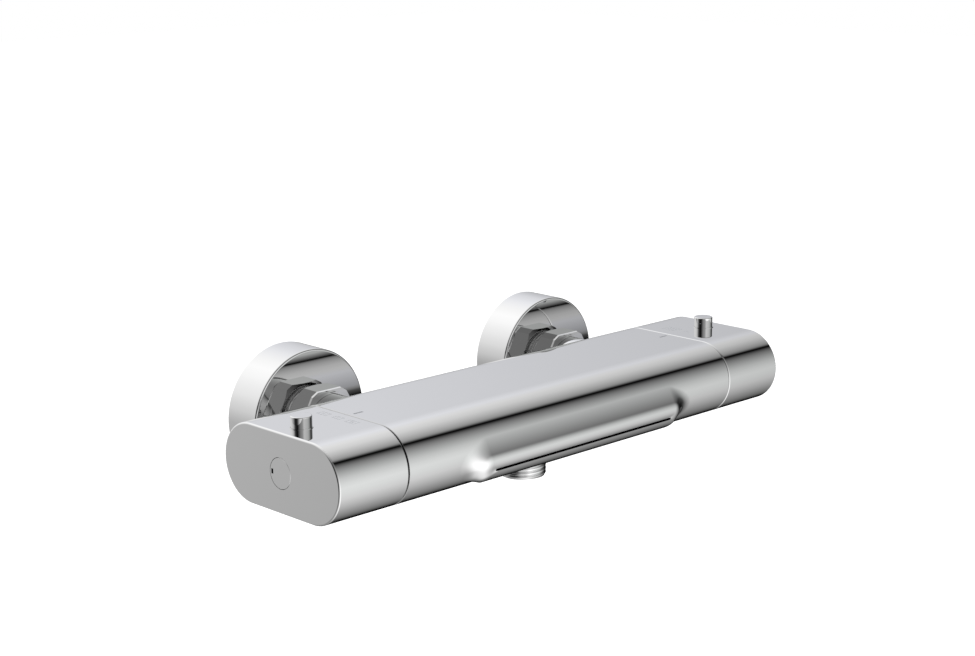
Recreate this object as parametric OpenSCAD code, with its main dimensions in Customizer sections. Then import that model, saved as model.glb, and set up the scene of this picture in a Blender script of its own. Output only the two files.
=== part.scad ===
// Exposed thermostatic bath and shower mixer for two wall inlets.
// Millimetres, Z up. The origin is on the wall, midway between the inlet axes, and the tap
// stands out along -Y. Left handle: flow and diverter. Right handle: temperature.

/* [Casting] */
// Distance between the two inlet axes
inlet_pitch = 150; // [147:1:153]
// Distance from the wall to the long axis of the casting
body_out = 75.6; // [74.4:0.4:78.4]
// Distance from an inlet axis to the nearer end of the casting
end_margin = 25; // [23.5:0.5:28]
// Front to back size of the rounded section
body_depth = 73; // [72:0.5:76]
// Height of the rounded section
body_height = 33.8; // [33.4:0.2:35.6]
// How far the inlet bosses stand out behind the casting
boss_reach = 5.3; // [5:0.1:6]
// Radius of the inlet bosses
boss_radius = 13; // [12.5:0.1:13.4]
// Rounding of the casting's edges at the seams
seam_round = 0.1; // [0.1:0.05:0.4]

/* [Spout] */
// How far the spout lip stands out in front of the casting
lip_reach = 3.5; // [2.8:0.1:4.2]
// Radius of the bead along the spout lip
bead_radius = 5.5; // [5.2:0.1:6]
// Depth of the bead centre below the long axis
bead_drop = 4.2; // [3.8:0.1:4.6]
// Radius of the scoop that blends the bead into the casting
scoop_radius = 32; // [26:1:40]
// Radius of the underside of the spout lip
under_radius = 12; // [11.6:0.1:12.6]
// Width of the water slot
slot_width = 110; // [100:1:114]
// Height of the water slot at the lip
slot_gap = 1.2; // [1:0.1:1.6]
// Downward slope of the water slot in degrees
slot_slope = 21.5; // [20:0.5:23]

/* [Handles] */
// Length of each handle
handle_length = 35.8; // [35.2:0.2:38]
// Gap between the casting and a handle
seam_gap = 0.5; // [0.3:0.1:0.8]
// Wall thickness of the handle shells
handle_wall = 2.6; // [2.4:0.1:3]
// Rounding of the outer edge of a handle
end_round = 0.8; // [0.5:0.1:1.2]
// Rounding of a handle's edge at the seam
handle_seam_round = 0.7; // [0.2:0.1:0.9]
// Radius of the round cover in the end of each handle
cover_radius = 6.6; // [6.2:0.1:7.4]
// Radius of the push buttons
button_radius = 4.45; // [4.2:0.05:4.6]
// How far a button stands above its handle
button_height = 5; // [4:0.5:6]
// Distance from a button's centre to the outer end of its handle
button_inset = 11.2; // [11:0.1:11.6]
// Travel of the buttons when pressed
button_travel = 2.4; // [2:0.1:2.6]

/* [Wall side] */
// Radius of the round wall covers
cup_radius = 30.3; // [29:0.1:32]
// Depth of the round wall covers
cup_depth = 19.3; // [17.5:0.1:19.5]
// Rounding of the front edge of the wall covers
cup_round = 0.9; // [0.6:0.1:1.4]
// Width across the flats of the union nuts
nut_flats = 30; // [29.8:0.1:30.6]
// Length of the union nuts
nut_length = 11.6; // [11:0.1:12]
// Length of the thread that enters the wall fitting
wall_thread = 14; // [10:1:18]

/* [Hose outlet] */
// How far the hose thread stands below the casting
hose_drop = 13.2; // [12:0.2:15]

/* [Hidden] */
$fn = 72;
coil_segments = 8;
coil_steps = 14;
turn = 360;
half_turn = 180;
square_turn = 90;
tiny = 0.01;
past = 1;

body_length = inlet_pitch + 2 * end_margin;
half_depth = body_depth / 2;
half_height = body_height / 2;
arc_out = half_depth - half_height;
body_half = body_length / 2;
handle_from = body_half + seam_gap;
handle_to = handle_from + handle_length;
inlet_half = inlet_pitch / 2;

// Pipe threads: outside radius, pitch and groove of half inch and three quarter inch
half_inch_radius = 10.48;
three_quarter_radius = 13.22;
thread_pitch = 1.814;
thread_depth = 0.62;
thread_land_share = 0.3;

// Running and seating clearances
run_gap = 0.05;
seat_gap = 0.1;

// Cartridge chambers, bored in from the ends of the casting
chamber_radius = 12.5;
flow_depth = 50;
hot_port_in = 13;
port_span = 24;
thermo_depth = hot_port_in + port_span + end_margin;
flow_from = body_half - flow_depth;
thermo_from = body_half - thermo_depth;

// Waterways, measured from the long axis of the casting
gallery_radius = 5;
mixed_y = 6.5;
mixed_z = 3;
back_gallery_y = 24;
back_gallery_radius = 5.5;
front_gallery_y = 24;
front_gallery_z = -2;
front_gallery_radius = 6;
port_radius = 4.4;
flow_port_in = 14;
gallery_past = 5;
flow_port_x = flow_from + flow_port_in;
hot_port_x = thermo_from + hot_port_in;
cold_port_x = inlet_half;
back_gallery_end = hot_port_x + gallery_past;
inlet_bore = 5.6;
plug_length = 6;

// Valve cartridges for one-way flow, all three alike
valve_radius = 6.4;
valve_length = 14;
valve_inside = 5.4;
valve_seat_radius = 3.8;
valve_seat = 1.5;
valve_guide = 2;
valve_web = 1.4;
valve_webs = 4;
valve_web_inset = 0.3;
poppet_radius = 4.7;
poppet_disc = 1.6;
stem_radius = 1.3;
valve_coil_radius = 2.5;
valve_wire = 0.35;
valve_turns = 5;

// Inlet stack, measured from the face of a boss towards the wall
boss_face = -(body_out - half_depth - boss_reach);
tail_insert = 11.5;
tail_radius = 9.4;
tail_neck = 10.8;
tail_collar = 12.7;
collar_thick = 2.4;
nut_clear = 0.15;
nut_flange = 2.2;
nut_front_radius = 14.7;
nut_front = 1.6;
nut_bore = 13.3;
nut_corner = 16.2;
nut_chamfer = 1.1;
nut_sides = 6;
washer_thick = 2;
washer_radius = 12.6;
washer_hole = 8.6;
union_bore = 7.5;
collar_at = boss_face + nut_clear + nut_flange;
washer_at = collar_at + collar_thick;
union_at = washer_at + washer_thick;
union_thread_inside = 4;
union_thread_end = union_thread_inside - cup_depth;
union_neck = 11.6;
thread_start = -3;

// Spout lip section: distance in front of the long axis, then height
bead_out = half_depth + lip_reach - bead_radius;
lip_turn_radius = 6.5;
lip_turn_out = bead_out - lip_turn_radius;
body_reach = half_height + scoop_radius;
bead_reach = bead_radius + scoop_radius;
bead_span = sqrt(pow(bead_out - arc_out, 2) + pow(bead_drop, 2));
bead_angle = -atan2(bead_drop, bead_out - arc_out);
scoop_cosine = (pow(body_reach, 2) + pow(bead_span, 2) - pow(bead_reach, 2))
    / (2 * bead_span * body_reach);
scoop_angle = bead_angle + acos(scoop_cosine);
scoop_out = arc_out + body_reach * cos(scoop_angle);
scoop_up = body_reach * sin(scoop_angle);
touch_body = [arc_out + half_height * cos(scoop_angle), half_height * sin(scoop_angle)];
touch_share = bead_radius / bead_reach;
touch_bead = [bead_out + (scoop_out - bead_out) * touch_share,
    -bead_drop + (scoop_up + bead_drop) * touch_share];
lip_root_up = 5.6;
under_set_back = 5.6;
under_lift = 2;
under_out = bead_out - under_set_back;
under_up = under_lift - bead_drop;
lip_half = slot_width / 2;
slot_gallery_past = 7;
front_gallery_end = lip_half + slot_gallery_past;
slot_inside = 12.6;
slot_reach = 24;
channel_height = 3;
channel_from = 3;
line_reach = 12;
line_far = half_depth + line_reach;
line_deep = 30;

// Wall covers with their grip rings and foam rings
cup_wall = 1.5;
cup_clear = 0.25;
cup_hole = three_quarter_radius + cup_clear;
grip_length = 2;
grip_radius = 16;
seal_wide = 2.4;
seal_thick = 2.2;

// Filter discs
filter_wall = 0.5;
filter_holes = 6;
filter_hole = 0.9;
filter_pitch = 2.6;

// Hose nipple
hose_low = -half_height - hose_drop;
nipple_top = -mixed_z - gallery_radius - seat_gap;
hose_ring_rise = 3;
hose_ring_z = hose_ring_rise - half_height;

// Spout insert
insert_gap = 0.05;
insert_from = 6.4;
insert_slits = 27;
slit_width = 2.8;
slit_height = 1.5;

// Handle details
pocket_depth = 17.4;
hub_start = 5.5;
hub_radius = 9;
hub_bore = 6;
hub_bore_end = 18;
lighten_radius = 10.5;
lighten_end = 31;
cover_thick = 2.2;
cover_gap = 0.06;
cover_notch = 1.4;
cover_notch_high = 2;
cover_notch_rim = 0.45;
head_radius = 3.5;
head_length = 4;
head_clear = 4.2;
screw_radius = 2;
screw_bore = 2.15;
screw_reach = 18;
hex_across = 1.7;
hex_deep = 2.4;
button_x = handle_to - button_inset;
bush_wall = 0.4;
bush_proud = 0.25;
bush_length = 4.6;
button_hole = button_radius + run_gap;
bush_radius = button_hole + bush_wall;
flange_thick = 1.6;
flange_clear = 0.12;
flange_radius = bush_radius - flange_clear;
flange_top = half_height - bush_length + bush_proud;
flange_low = flange_top - flange_thick;
coil_stack = 3.15;
well_floor = flange_low - button_travel - coil_stack;
button_round = 0.45;
button_coil_radius = 3.4;
button_wire = 0.28;
button_turns = 4;
lug_width = 2.4;
stop_margin = 15;
flow_limit = 45;
cold_limit = 100;
hot_limit = 50;
stop_clear = 0.9;
stop_outer = half_height - handle_wall - stop_clear;
stop_inner = 7;
stop_thick = 3;
lug_edge = 0.8;
lug_tall = 2.9;
lug_rise = 2.8;
lug_outer = stop_outer - lug_edge;
lug_inner = lug_outer - lug_tall;
handle_lug_from = 4;

// Spindles
shaft_radius = 5;
spline_root = 5.2;
spline_tip = 5.9;
spline_teeth = 20;
spline_width = 0.8;
tooth_foot = 4.4;
tooth_inset = 0.2;
spline_start = 6;
spline_end = 17.6;
tap_radius = 1.95;
tap_depth = 11;
cartridge_radius = 12.35;

// Flow cartridge
base_thick = 1.5;
plate_thick = 2;
flow_wall_inside = 10.2;
flow_nut_long = 8;
flow_housing_end = body_half - flow_nut_long;
disc_radius = 10.05;
disc_thick = 3;
port_hole = 3.2;
side_window = 3.4;
channel_long = 13.4;
channel_deep = 1.6;
carrier_radius = 8.6;
carrier_length = 8;
flow_plate_at = flow_from + base_thick;
flow_disc_at = flow_plate_at + plate_thick;
flow_turn_at = flow_disc_at + disc_thick;
carrier_at = flow_turn_at + disc_thick;
bonnet_long = 22;
bonnet_from = flow_housing_end - bonnet_long;
bonnet_radius = 10.1;
shaft_ring_in = 12;
shaft_ring_x = flow_housing_end - shaft_ring_in;
shaft_ring_wire = 0.9;
shaft_ring_groove = 5.8;

// Spanner holes of the ring nuts
spanner_holes = 4;
spanner_hole = 1.2;
spanner_pitch = 9.4;
spanner_deep = 3;

// Thermostat cartridge
thermo_plate = 2;
thermo_inside = 9;
thermo_nut_long = 7;
thermo_end = body_half - thermo_nut_long;
groove_floor = 10.9;
hot_groove = 8;
cold_groove = 8;
window_count = 6;
window_wide = 4;
window_high = 4;
ring_in = 5.2;
ring_past = 9;
ring_at = [thermo_from + ring_in, (hot_port_x + cold_port_x) / 2, cold_port_x + ring_past];
ring_wire = 0.9;
ring_seat = 11.6;
spool_hot_gap = 6;
spool_cold_gap = 5;
spool_from = hot_port_x + spool_hot_gap;
spool_to = cold_port_x - spool_cold_gap;
spool_inside = 6.6;
web_thick = 2;
element_radius = 4;
element_in = 10;
element_cap = 5.4;
element_cap_long = 3;
drive_long = 9;
drive_in = 5;
drive_to = thermo_end - drive_in;
drive_from = drive_to - drive_long;
element_from = thermo_from + element_in;
element_to = drive_from;
drive_radius = 8.9;
drive_thread = 4.2;
screw_thread = 4.12;
spindle_thread_in = 11;
spindle_collar_long = 2.9;
spindle_in = thermo_end - spindle_thread_in;
spindle_collar_end = thermo_end - seat_gap;
spindle_collar = spindle_collar_end - spindle_collar_long;
spindle_collar_radius = 8;
thermo_coil_radius = 7.8;
thermo_wire = 0.5;
thermo_turns = 6;
thermo_outlet = 2.4;

// Marks let into the surface
mark_deep = 0.15;
dash_long = 5;
dash_wide = 1.2;
dash_inset = 4.6;
sign_x = 5.6;
sign_pitch = 8.8;
sign_long = 3.6;
sign_wide = 5.8;
sign_line = 0.45;
sign_dot = 1.2;
digit_x = 10;
digit_y = 8.2;
digit_high = 5.6;
digit_wide = 3;
digit_step = 4.2;
digit_line = 0.7;
degree_size = 1.9;

chrome = [0.78, 0.79, 0.81];
brass = [0.74, 0.6, 0.32];
copper = [0.72, 0.43, 0.28];
steel = [0.62, 0.63, 0.65];
ceramic = [0.93, 0.93, 0.9];
rubber = [0.09, 0.09, 0.1];
dark_plastic = [0.13, 0.13, 0.14];
light_plastic = [0.86, 0.87, 0.88];
ink = [0.45, 0.46, 0.48];

// Moves to the long axis of the casting
module at_axis() { translate([0, -body_out, 0]) children(); }

// Builds outward along +X on the right side, mirrored on the left side
module on_right() { at_axis() children(); }
module on_left() { at_axis() mirror([1, 0, 0]) children(); }

// Round bar along X, and a tube along X
module bar_x(radius, from, to) {
    translate([from, 0, 0]) rotate([0, square_turn, 0]) cylinder(r = radius, h = to - from);
}
module tube_x(radius, inside, from, to) {
    difference() {
        bar_x(radius, from, to);
        bar_x(inside, from - past, to + past);
    }
}

// Round bar along Y, and a tube along Y
module bar_y(radius, from, to) {
    translate([0, from, 0]) rotate([-square_turn, 0, 0]) cylinder(r = radius, h = to - from);
}
module tube_y(radius, inside, from, to) {
    difference() {
        bar_y(radius, from, to);
        bar_y(inside, from - past, to + past);
    }
}

// Round bar along Z
module bar_z(radius, from, to) { translate([0, 0, from]) cylinder(r = radius, h = to - from); }

// Half section of a bar with a rounded far edge and a rounded near edge, radius then length
module edge_section(radius, length, far, near) {
    translate([0, near]) square([radius, length - far - near]);
    translate([0, length - far - tiny]) square([radius - far, far + tiny]);
    translate([radius - far, length - far]) circle(r = far);
    square([radius - near, near + tiny]);
    translate([radius - near, near]) circle(r = near);
}
module right_half(size) { intersection() { children(); translate([0, -size]) square(2 * size); } }

// Straight middle of the rounded bar, length then height
module middle_section(length, far, near) {
    translate([near, -half_height]) square([length - far - near, body_height]);
    translate([0, near - half_height]) square([near + tiny, body_height - 2 * near]);
    translate([length - far - tiny, far - half_height])
        square([far + tiny, body_height - 2 * far]);
    for (s = [-1, 1]) {
        translate([near, s * (half_height - near)]) circle(r = near);
        translate([length - far, s * (half_height - far)]) circle(r = far);
    }
}

// Bar of the rounded section from 0 to its length along X, both edges rounded
module rounded_bar(length, far, near) {
    for (s = [-1, 1]) translate([0, s * arc_out, 0]) rotate([0, square_turn, 0])
        rotate_extrude() right_half(length) edge_section(half_height, length, far, near);
    translate([0, arc_out, 0]) rotate([square_turn, 0, 0])
        linear_extrude(height = 2 * arc_out) middle_section(length, far, near);
}

// Plain bar of the rounded section, reduced all round
module plain_bar(from, to, less) {
    for (s = [-1, 1]) translate([0, s * arc_out, 0]) bar_x(half_height - less, from, to);
    translate([from, -arc_out, less - half_height])
        cube([to - from, 2 * arc_out, body_height - 2 * less]);
}

// Ring grooves of a pipe thread about Z, cut from the outside
module thread_cuts(radius, from, to) {
    count = floor((to - from) / thread_pitch);
    half = thread_pitch * (1 - thread_land_share) / 2;
    for (i = [0 : count - 1]) translate([0, 0, from + (i + 1 / 2) * thread_pitch])
        rotate_extrude() polygon([[radius - thread_depth, 0],
            [radius + half * thread_depth, -half - half * thread_depth],
            [radius + half * thread_depth, half + half * thread_depth]]);
}

// Coil of round wire along Z
module coil(radius, wire, height, turns) {
    translate([0, 0, wire]) linear_extrude(height = height - 2 * wire, twist = -turn * turns,
        slices = turns * coil_steps, $fn = coil_segments)
            translate([radius, 0]) circle(r = wire);
    for (z = [wire, height - wire]) translate([0, 0, z]) rotate_extrude($fn = coil_steps)
        translate([radius, 0]) circle(r = wire, $fn = coil_segments);
}

// Section of the upper spout lip, distance from the turning line then height
module lip_upper() {
    translate([-lip_turn_out, 0]) {
        difference() {
            polygon([[lip_turn_out, -bead_drop], [lip_turn_out, lip_root_up],
                touch_body, touch_bead, [bead_out, -bead_drop]]);
            translate([scoop_out, scoop_up]) circle(r = scoop_radius, $fn = 2 * $fn);
        }
        translate([bead_out, -bead_drop]) circle(r = bead_radius);
    }
}

// Section of the lower spout lip, kept below the water slot
module lip_lower() {
    slope = tan(slot_slope);
    translate([-lip_turn_out, 0]) intersection() {
        translate([under_out, under_up]) circle(r = under_radius);
        polygon([[lip_turn_out, front_gallery_z - (lip_turn_out - front_gallery_y) * slope],
            [line_far, front_gallery_z - (line_far - front_gallery_y) * slope],
            [line_far, -line_deep], [lip_turn_out, -line_deep]]);
    }
}
module lip_section() {
    lip_upper();
    lip_lower();
}

// Spout lip: straight middle and two turned ends
module lip() {
    translate([-lip_half, -lip_turn_out, 0]) rotate([square_turn, 0, square_turn])
        mirror([1, 0, 0]) linear_extrude(height = slot_width) lip_section();
    for (s = [0, 1]) translate([(2 * s - 1) * lip_half, -lip_turn_out, 0])
        rotate([0, 0, square_turn + s * half_turn])
            rotate_extrude(angle = half_turn) lip_section();
}

// Places parts in the slope of the water slot, running forward along -Y
module in_slot() {
    translate([0, -front_gallery_y, front_gallery_z]) rotate([slot_slope, 0, 0]) children();
}
module slot_block(width, height, from, to) {
    translate([-width / 2, -to, -height / 2]) cube([width, to - from, height]);
}

// Waterways of the casting
module waterways() {
    bar_x(chamber_radius, -body_half - past, -flow_from);
    bar_x(chamber_radius, thermo_from, body_half + past);
    translate([0, mixed_y, mixed_z]) bar_x(gallery_radius, -flow_from - tiny, thermo_from + tiny);
    translate([0, -mixed_y, -mixed_z]) bar_x(gallery_radius, -flow_from - tiny, mixed_y);
    translate([0, back_gallery_y, 0])
        bar_x(back_gallery_radius, -body_half - past, back_gallery_end);
    translate([0, -front_gallery_y, front_gallery_z])
        bar_x(front_gallery_radius, -body_half - past, front_gallery_end);
    translate([-flow_port_x, 0, 0]) bar_y(port_radius, -front_gallery_y, -chamber_radius / 2);
    translate([hot_port_x, 0, 0]) bar_y(port_radius, chamber_radius / 2, back_gallery_y);
    translate([inlet_half, 0, 0])
        bar_y(inlet_bore, chamber_radius / 2, body_out + boss_face - tail_insert + tiny);
    translate([-inlet_half, 0, 0])
        bar_y(inlet_bore, back_gallery_y, body_out + boss_face - tail_insert + tiny);
    for (s = [-1, 1]) translate([s * inlet_half, 0, 0])
        bar_y(tail_radius, body_out + boss_face - tail_insert, body_out + boss_face + past);
    bar_z(tail_radius, -half_height - past, -mixed_z - gallery_radius - seat_gap);
    bar_z(valve_radius, -half_height, -mixed_z - valve_seat);
    in_slot() {
        slot_block(slot_width, channel_height, channel_from, slot_inside);
        slot_block(slot_width, slot_gap, slot_inside - tiny, slot_reach);
    }
}

// Nickel and chrome plated brass casting with its spout lip and inlet bosses
module body() {
    color(chrome) at_axis() difference() {
        union() {
            translate([-body_half, 0, 0]) rounded_bar(body_length, seam_round, seam_round);
            for (s = [-1, 1]) translate([s * inlet_half, 0, 0])
                bar_y(boss_radius, arc_out, body_out + boss_face);
            lip();
        }
        waterways();
        for (s = [-1, 1]) index_dash(s, past);
    }
}

// Short index line near each seam
module index_dash(side, above) {
    translate([side * (body_half - dash_inset) - dash_long / 2, -dash_wide / 2,
        half_height - mark_deep]) cube([dash_long, dash_wide, mark_deep + above]);
}
module index_marks() { color(ink) at_axis() for (s = [-1, 1]) index_dash(s, 0); }

// Comb behind the slot that spreads the water into a sheet
module spout_insert() {
    wide = slot_width - 2 * insert_gap;
    color(dark_plastic) at_axis() in_slot() difference() {
        slot_block(wide, channel_height - 2 * insert_gap, insert_from, slot_inside);
        for (i = [0 : insert_slits - 1])
            translate([(i + 1 / 2) * wide / insert_slits - wide / 2, 0, 0])
                slot_block(slit_width, slit_height, 0, slot_reach);
    }
}

// Plugs that close the two drilled waterways under the flow handle
module gallery_plugs() {
    color(brass) at_axis() {
        translate([0, back_gallery_y, 0])
            plug(back_gallery_radius);
        translate([0, -front_gallery_y, front_gallery_z])
            plug(front_gallery_radius);
    }
}
module plug(radius) {
    difference() {
        bar_x(radius, -body_half, plug_length - body_half);
        translate([-body_half - past, 0, 0]) rotate([0, square_turn, 0])
            cylinder(r = radius / 2, h = past + hex_deep, $fn = nut_sides);
    }
}

// Threaded nipple for the shower hose
module hose_nipple() {
    color(chrome) at_axis() difference() {
        union() {
            bar_z(tail_radius, -half_height - past, nipple_top);
            bar_z(half_inch_radius, hose_low + thread_depth, -half_height);
            bar_z(half_inch_radius - thread_depth, hose_low, -half_height);
        }
        thread_cuts(half_inch_radius, hose_low + thread_depth, -half_height - thread_depth);
        bar_z(valve_radius + seat_gap / 2, nipple_top - valve_length, 0);
        bar_z(valve_inside, hose_low - past, 0);
        translate([0, 0, hose_ring_z]) rotate_extrude() translate([tail_radius, 0])
            circle(r = shaft_ring_wire);
    }
}
// Rubber ring in the nipple's groove
module hose_ring() {
    color(rubber) at_axis() translate([0, 0, hose_ring_z]) intersection() {
        rotate_extrude() translate([tail_radius, 0]) circle(r = shaft_ring_wire);
        bar_z(tail_radius, -shaft_ring_wire, shaft_ring_wire);
    }
}

module at_inlets() { for (s = [-1, 1]) translate([s * inlet_half, 0, 0]) children(); }

// Collared tails screwed into the bosses
module tailpieces() {
    color(brass) at_inlets() difference() {
        union() {
            bar_y(tail_radius, boss_face - tail_insert, boss_face);
            bar_y(tail_neck, boss_face, collar_at + tiny);
            bar_y(tail_collar, collar_at, washer_at);
        }
        bar_y(valve_inside, boss_face - tail_insert - past, washer_at + past);
        bar_y(valve_radius + seat_gap / 2, washer_at - valve_length, washer_at + past);
    }
}

// Union nuts with a round front collar and chamfered corners
module union_nuts() {
    start = boss_face + nut_clear;
    hex_from = start + nut_front;
    stop = start + nut_length;
    hex_radius = nut_flats / 2 / cos(half_turn / nut_sides);
    color(chrome) at_inlets() difference() {
        union() {
            bar_y(nut_front_radius, start, hex_from + tiny);
            intersection() {
                translate([0, hex_from, 0]) rotate([-square_turn, 0, 0])
                    cylinder(r = hex_radius, h = stop - hex_from, $fn = nut_sides);
                union() {
                    bar_y(nut_corner, hex_from + nut_chamfer - tiny, stop - nut_chamfer + tiny);
                    translate([0, hex_from, 0]) rotate([-square_turn, 0, 0])
                        cylinder(r1 = nut_corner - nut_chamfer, r2 = nut_corner, h = nut_chamfer);
                    translate([0, stop - nut_chamfer, 0]) rotate([-square_turn, 0, 0])
                        cylinder(r1 = nut_corner, r2 = nut_corner - nut_chamfer, h = nut_chamfer);
                }
            }
        }
        bar_y(nut_bore, collar_at, stop + past);
        bar_y(tail_neck + seat_gap, start - past, collar_at + past);
    }
}

// Flat sealing washers
module union_washers() {
    color(rubber) at_inlets() tube_y(washer_radius, washer_hole, washer_at, union_at);
}

// Perforated filter discs inside the washers
module inlet_filters() {
    color(steel) at_inlets() difference() {
        bar_y(washer_hole, washer_at, washer_at + filter_wall);
        bar_y(filter_hole, washer_at - past, union_at);
        for (ring = [1, 2], i = [0 : filter_holes * ring - 1])
            rotate([0, i * turn / filter_holes / ring, 0]) translate([ring * filter_pitch, 0, 0])
                bar_y(filter_hole, washer_at - past, union_at);
    }
}

// Straight wall unions, three quarter inch to half inch
module wall_unions() {
    color(chrome) at_inlets() difference() {
        rotate([-square_turn, 0, 0]) difference() {
            union() {
                bar_z(three_quarter_radius, union_at, union_thread_end);
                bar_z(union_neck, union_thread_end - tiny, thread_start);
                bar_z(half_inch_radius, thread_start - tiny, wall_thread);
            }
            thread_cuts(three_quarter_radius, union_at + thread_depth, -cup_depth);
            thread_cuts(half_inch_radius, thread_depth, wall_thread - thread_depth);
        }
        bar_y(union_bore, union_at - past, wall_thread + past);
    }
}

// Round wall covers, closed in front but for the union hole
module wall_cups() {
    color(chrome) at_inlets() difference() {
        rotate([square_turn, 0, 0]) rotate_extrude() right_half(cup_radius)
            edge_section(cup_radius, cup_depth, cup_round, seam_round);
        bar_y(cup_radius - cup_wall, cup_wall - cup_depth, past);
        bar_y(cup_hole, -cup_depth - past, past);
    }
}

// Rubber rings that hold the covers on the unions
module cup_grip_rings() {
    color(rubber) at_inlets()
        tube_y(grip_radius, three_quarter_radius, cup_wall - cup_depth,
            cup_wall - cup_depth + grip_length);
}

// Foam rings between the covers and the wall
module cup_seals() {
    color(rubber) at_inlets() tube_y(cup_radius - cup_wall, cup_radius - cup_wall - seal_wide,
        -seal_thick, 0);
}

// One-way valve cartridge along +Z, water entering at 0
module valve_body() {
    web_reach = valve_seat_radius - stem_radius;
    difference() {
        bar_z(valve_radius, 0, valve_length);
        bar_z(valve_seat_radius, -past, valve_length + past);
        bar_z(valve_inside, valve_seat, valve_length - valve_guide);
    }
    difference() {
        union() {
            bar_z(stem_radius + valve_web, valve_length - valve_guide, valve_length);
            for (i = [0 : valve_webs - 1]) rotate([0, 0, i * turn / valve_webs])
                translate([stem_radius + valve_web / 2, -valve_web / 2,
                    valve_length - valve_guide + valve_web_inset])
                    cube([web_reach, valve_web, valve_guide - 2 * valve_web_inset]);
        }
        bar_z(stem_radius + run_gap, 0, valve_length + past);
    }
}
module poppet() {
    bar_z(poppet_radius, valve_seat, valve_seat + poppet_disc);
    bar_z(stem_radius, valve_seat, valve_length - valve_guide / 2);
}
module valve_coil() {
    translate([0, 0, valve_seat + poppet_disc])
        coil(valve_coil_radius, valve_wire,
            valve_length - valve_guide - valve_seat - poppet_disc, valve_turns);
}

// The three valve places: two inlets flowing to -Y, and the hose outlet flowing down
module at_inlet_valve(side) {
    translate([side * inlet_half, washer_at, 0]) rotate([square_turn, 0, 0]) children();
}
module at_hose_valve() {
    at_axis() translate([0, 0, nipple_top]) rotate([half_turn, 0, 0]) children();
}
module valve_bodies() {
    color(light_plastic) {
        at_inlet_valve(-1) valve_body();
        at_inlet_valve(1) valve_body();
        at_hose_valve() valve_body();
    }
}
module hot_poppet() { color(dark_plastic) at_inlet_valve(-1) poppet(); }
module cold_poppet() { color(dark_plastic) at_inlet_valve(1) poppet(); }
module hose_poppet() { color(dark_plastic) at_hose_valve() poppet(); }
module hot_spring() { color(steel) at_inlet_valve(-1) valve_coil(); }
module cold_spring() { color(steel) at_inlet_valve(1) valve_coil(); }
module hose_spring() { color(steel) at_hose_valve() valve_coil(); }

// Two port holes through the flow cartridge, along X
module port_holes(from, to) {
    for (s = [-1, 1]) translate([0, s * mixed_y, s * mixed_z]) bar_x(port_hole, from, to);
}

// Rubber gasket under the flow cartridge
module flow_base_seal() {
    color(rubber) on_left() difference() {
        bar_x(cartridge_radius, flow_from, flow_from + base_thick);
        port_holes(flow_from - past, flow_from + base_thick + past);
    }
}

// Flow cartridge housing with end plate and side window
module flow_housing() {
    color(brass) on_left() difference() {
        bar_x(cartridge_radius, flow_plate_at, flow_housing_end);
        bar_x(flow_wall_inside, flow_disc_at, flow_housing_end + past);
        port_holes(flow_plate_at - past, flow_disc_at + past);
        translate([flow_port_x, 0, 0]) bar_y(side_window, -chamber_radius - past, 0);
    }
}

// Fixed ceramic disc
module flow_fixed_disc() {
    color(ceramic) on_left() difference() {
        bar_x(disc_radius + seat_gap, flow_disc_at, flow_turn_at);
        port_holes(flow_disc_at - past, flow_turn_at + past);
    }
}

// Turning ceramic disc with a channel that joins or closes the ports
module flow_turning_disc() {
    color(ceramic) on_left() difference() {
        bar_x(disc_radius, flow_turn_at, carrier_at);
        translate([flow_turn_at - past, -channel_long / 2, mixed_z])
            cube([past + channel_deep, channel_long, mixed_z]);
    }
}

// Guide sleeve for the flow spindle
module flow_bonnet() {
    color(light_plastic) on_left() difference() {
        bar_x(bonnet_radius + seat_gap, bonnet_from, flow_housing_end);
        bar_x(shaft_radius + run_gap, bonnet_from - past, flow_housing_end + past);
        bar_x(shaft_ring_groove, shaft_ring_x - shaft_ring_wire, shaft_ring_x + shaft_ring_wire);
    }
}

// Rubber ring round the flow spindle
module flow_shaft_ring() {
    color(rubber) on_left() tube_x(shaft_ring_groove, shaft_radius + run_gap,
        shaft_ring_x - shaft_ring_wire, shaft_ring_x + shaft_ring_wire);
}

// Ring nut that closes a chamber, with spanner holes
module ring_nut(from, to) {
    difference() {
        bar_x(cartridge_radius, from, to);
        bar_x(shaft_radius + run_gap, from - past, to + past);
        for (i = [0 : spanner_holes - 1]) rotate([(i + 1 / 2) * turn / spanner_holes, 0, 0])
            translate([0, spanner_pitch, 0]) bar_x(spanner_hole, to - spanner_deep, to + past);
    }
}
module flow_nut() { color(brass) on_left() ring_nut(flow_housing_end, body_half); }
module thermo_nut() { color(brass) on_right() ring_nut(thermo_end, body_half); }

// Stop lug: a block beside the X axis, pointing up at angle 0
module lug(angle, from, to) {
    rotate([angle, 0, 0]) translate([from, -lug_width / 2, lug_inner])
        cube([to - from, lug_width, lug_outer - lug_inner]);
}

// Ring on the end of the casting with two lugs that limit a handle
module stop_ring(low, high) {
    tube_x(stop_outer, stop_inner, body_half, body_half + stop_thick);
    for (a = [half_turn + low, half_turn + high])
        lug(a, body_half + stop_thick - tiny, body_half + stop_thick + lug_rise);
}
module flow_stop() {
    color(dark_plastic) on_left() stop_ring(-flow_limit - stop_margin, flow_limit + stop_margin);
}
module temp_stop() {
    color(dark_plastic) on_right() stop_ring(-cold_limit - stop_margin, hot_limit + stop_margin);
}

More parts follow.
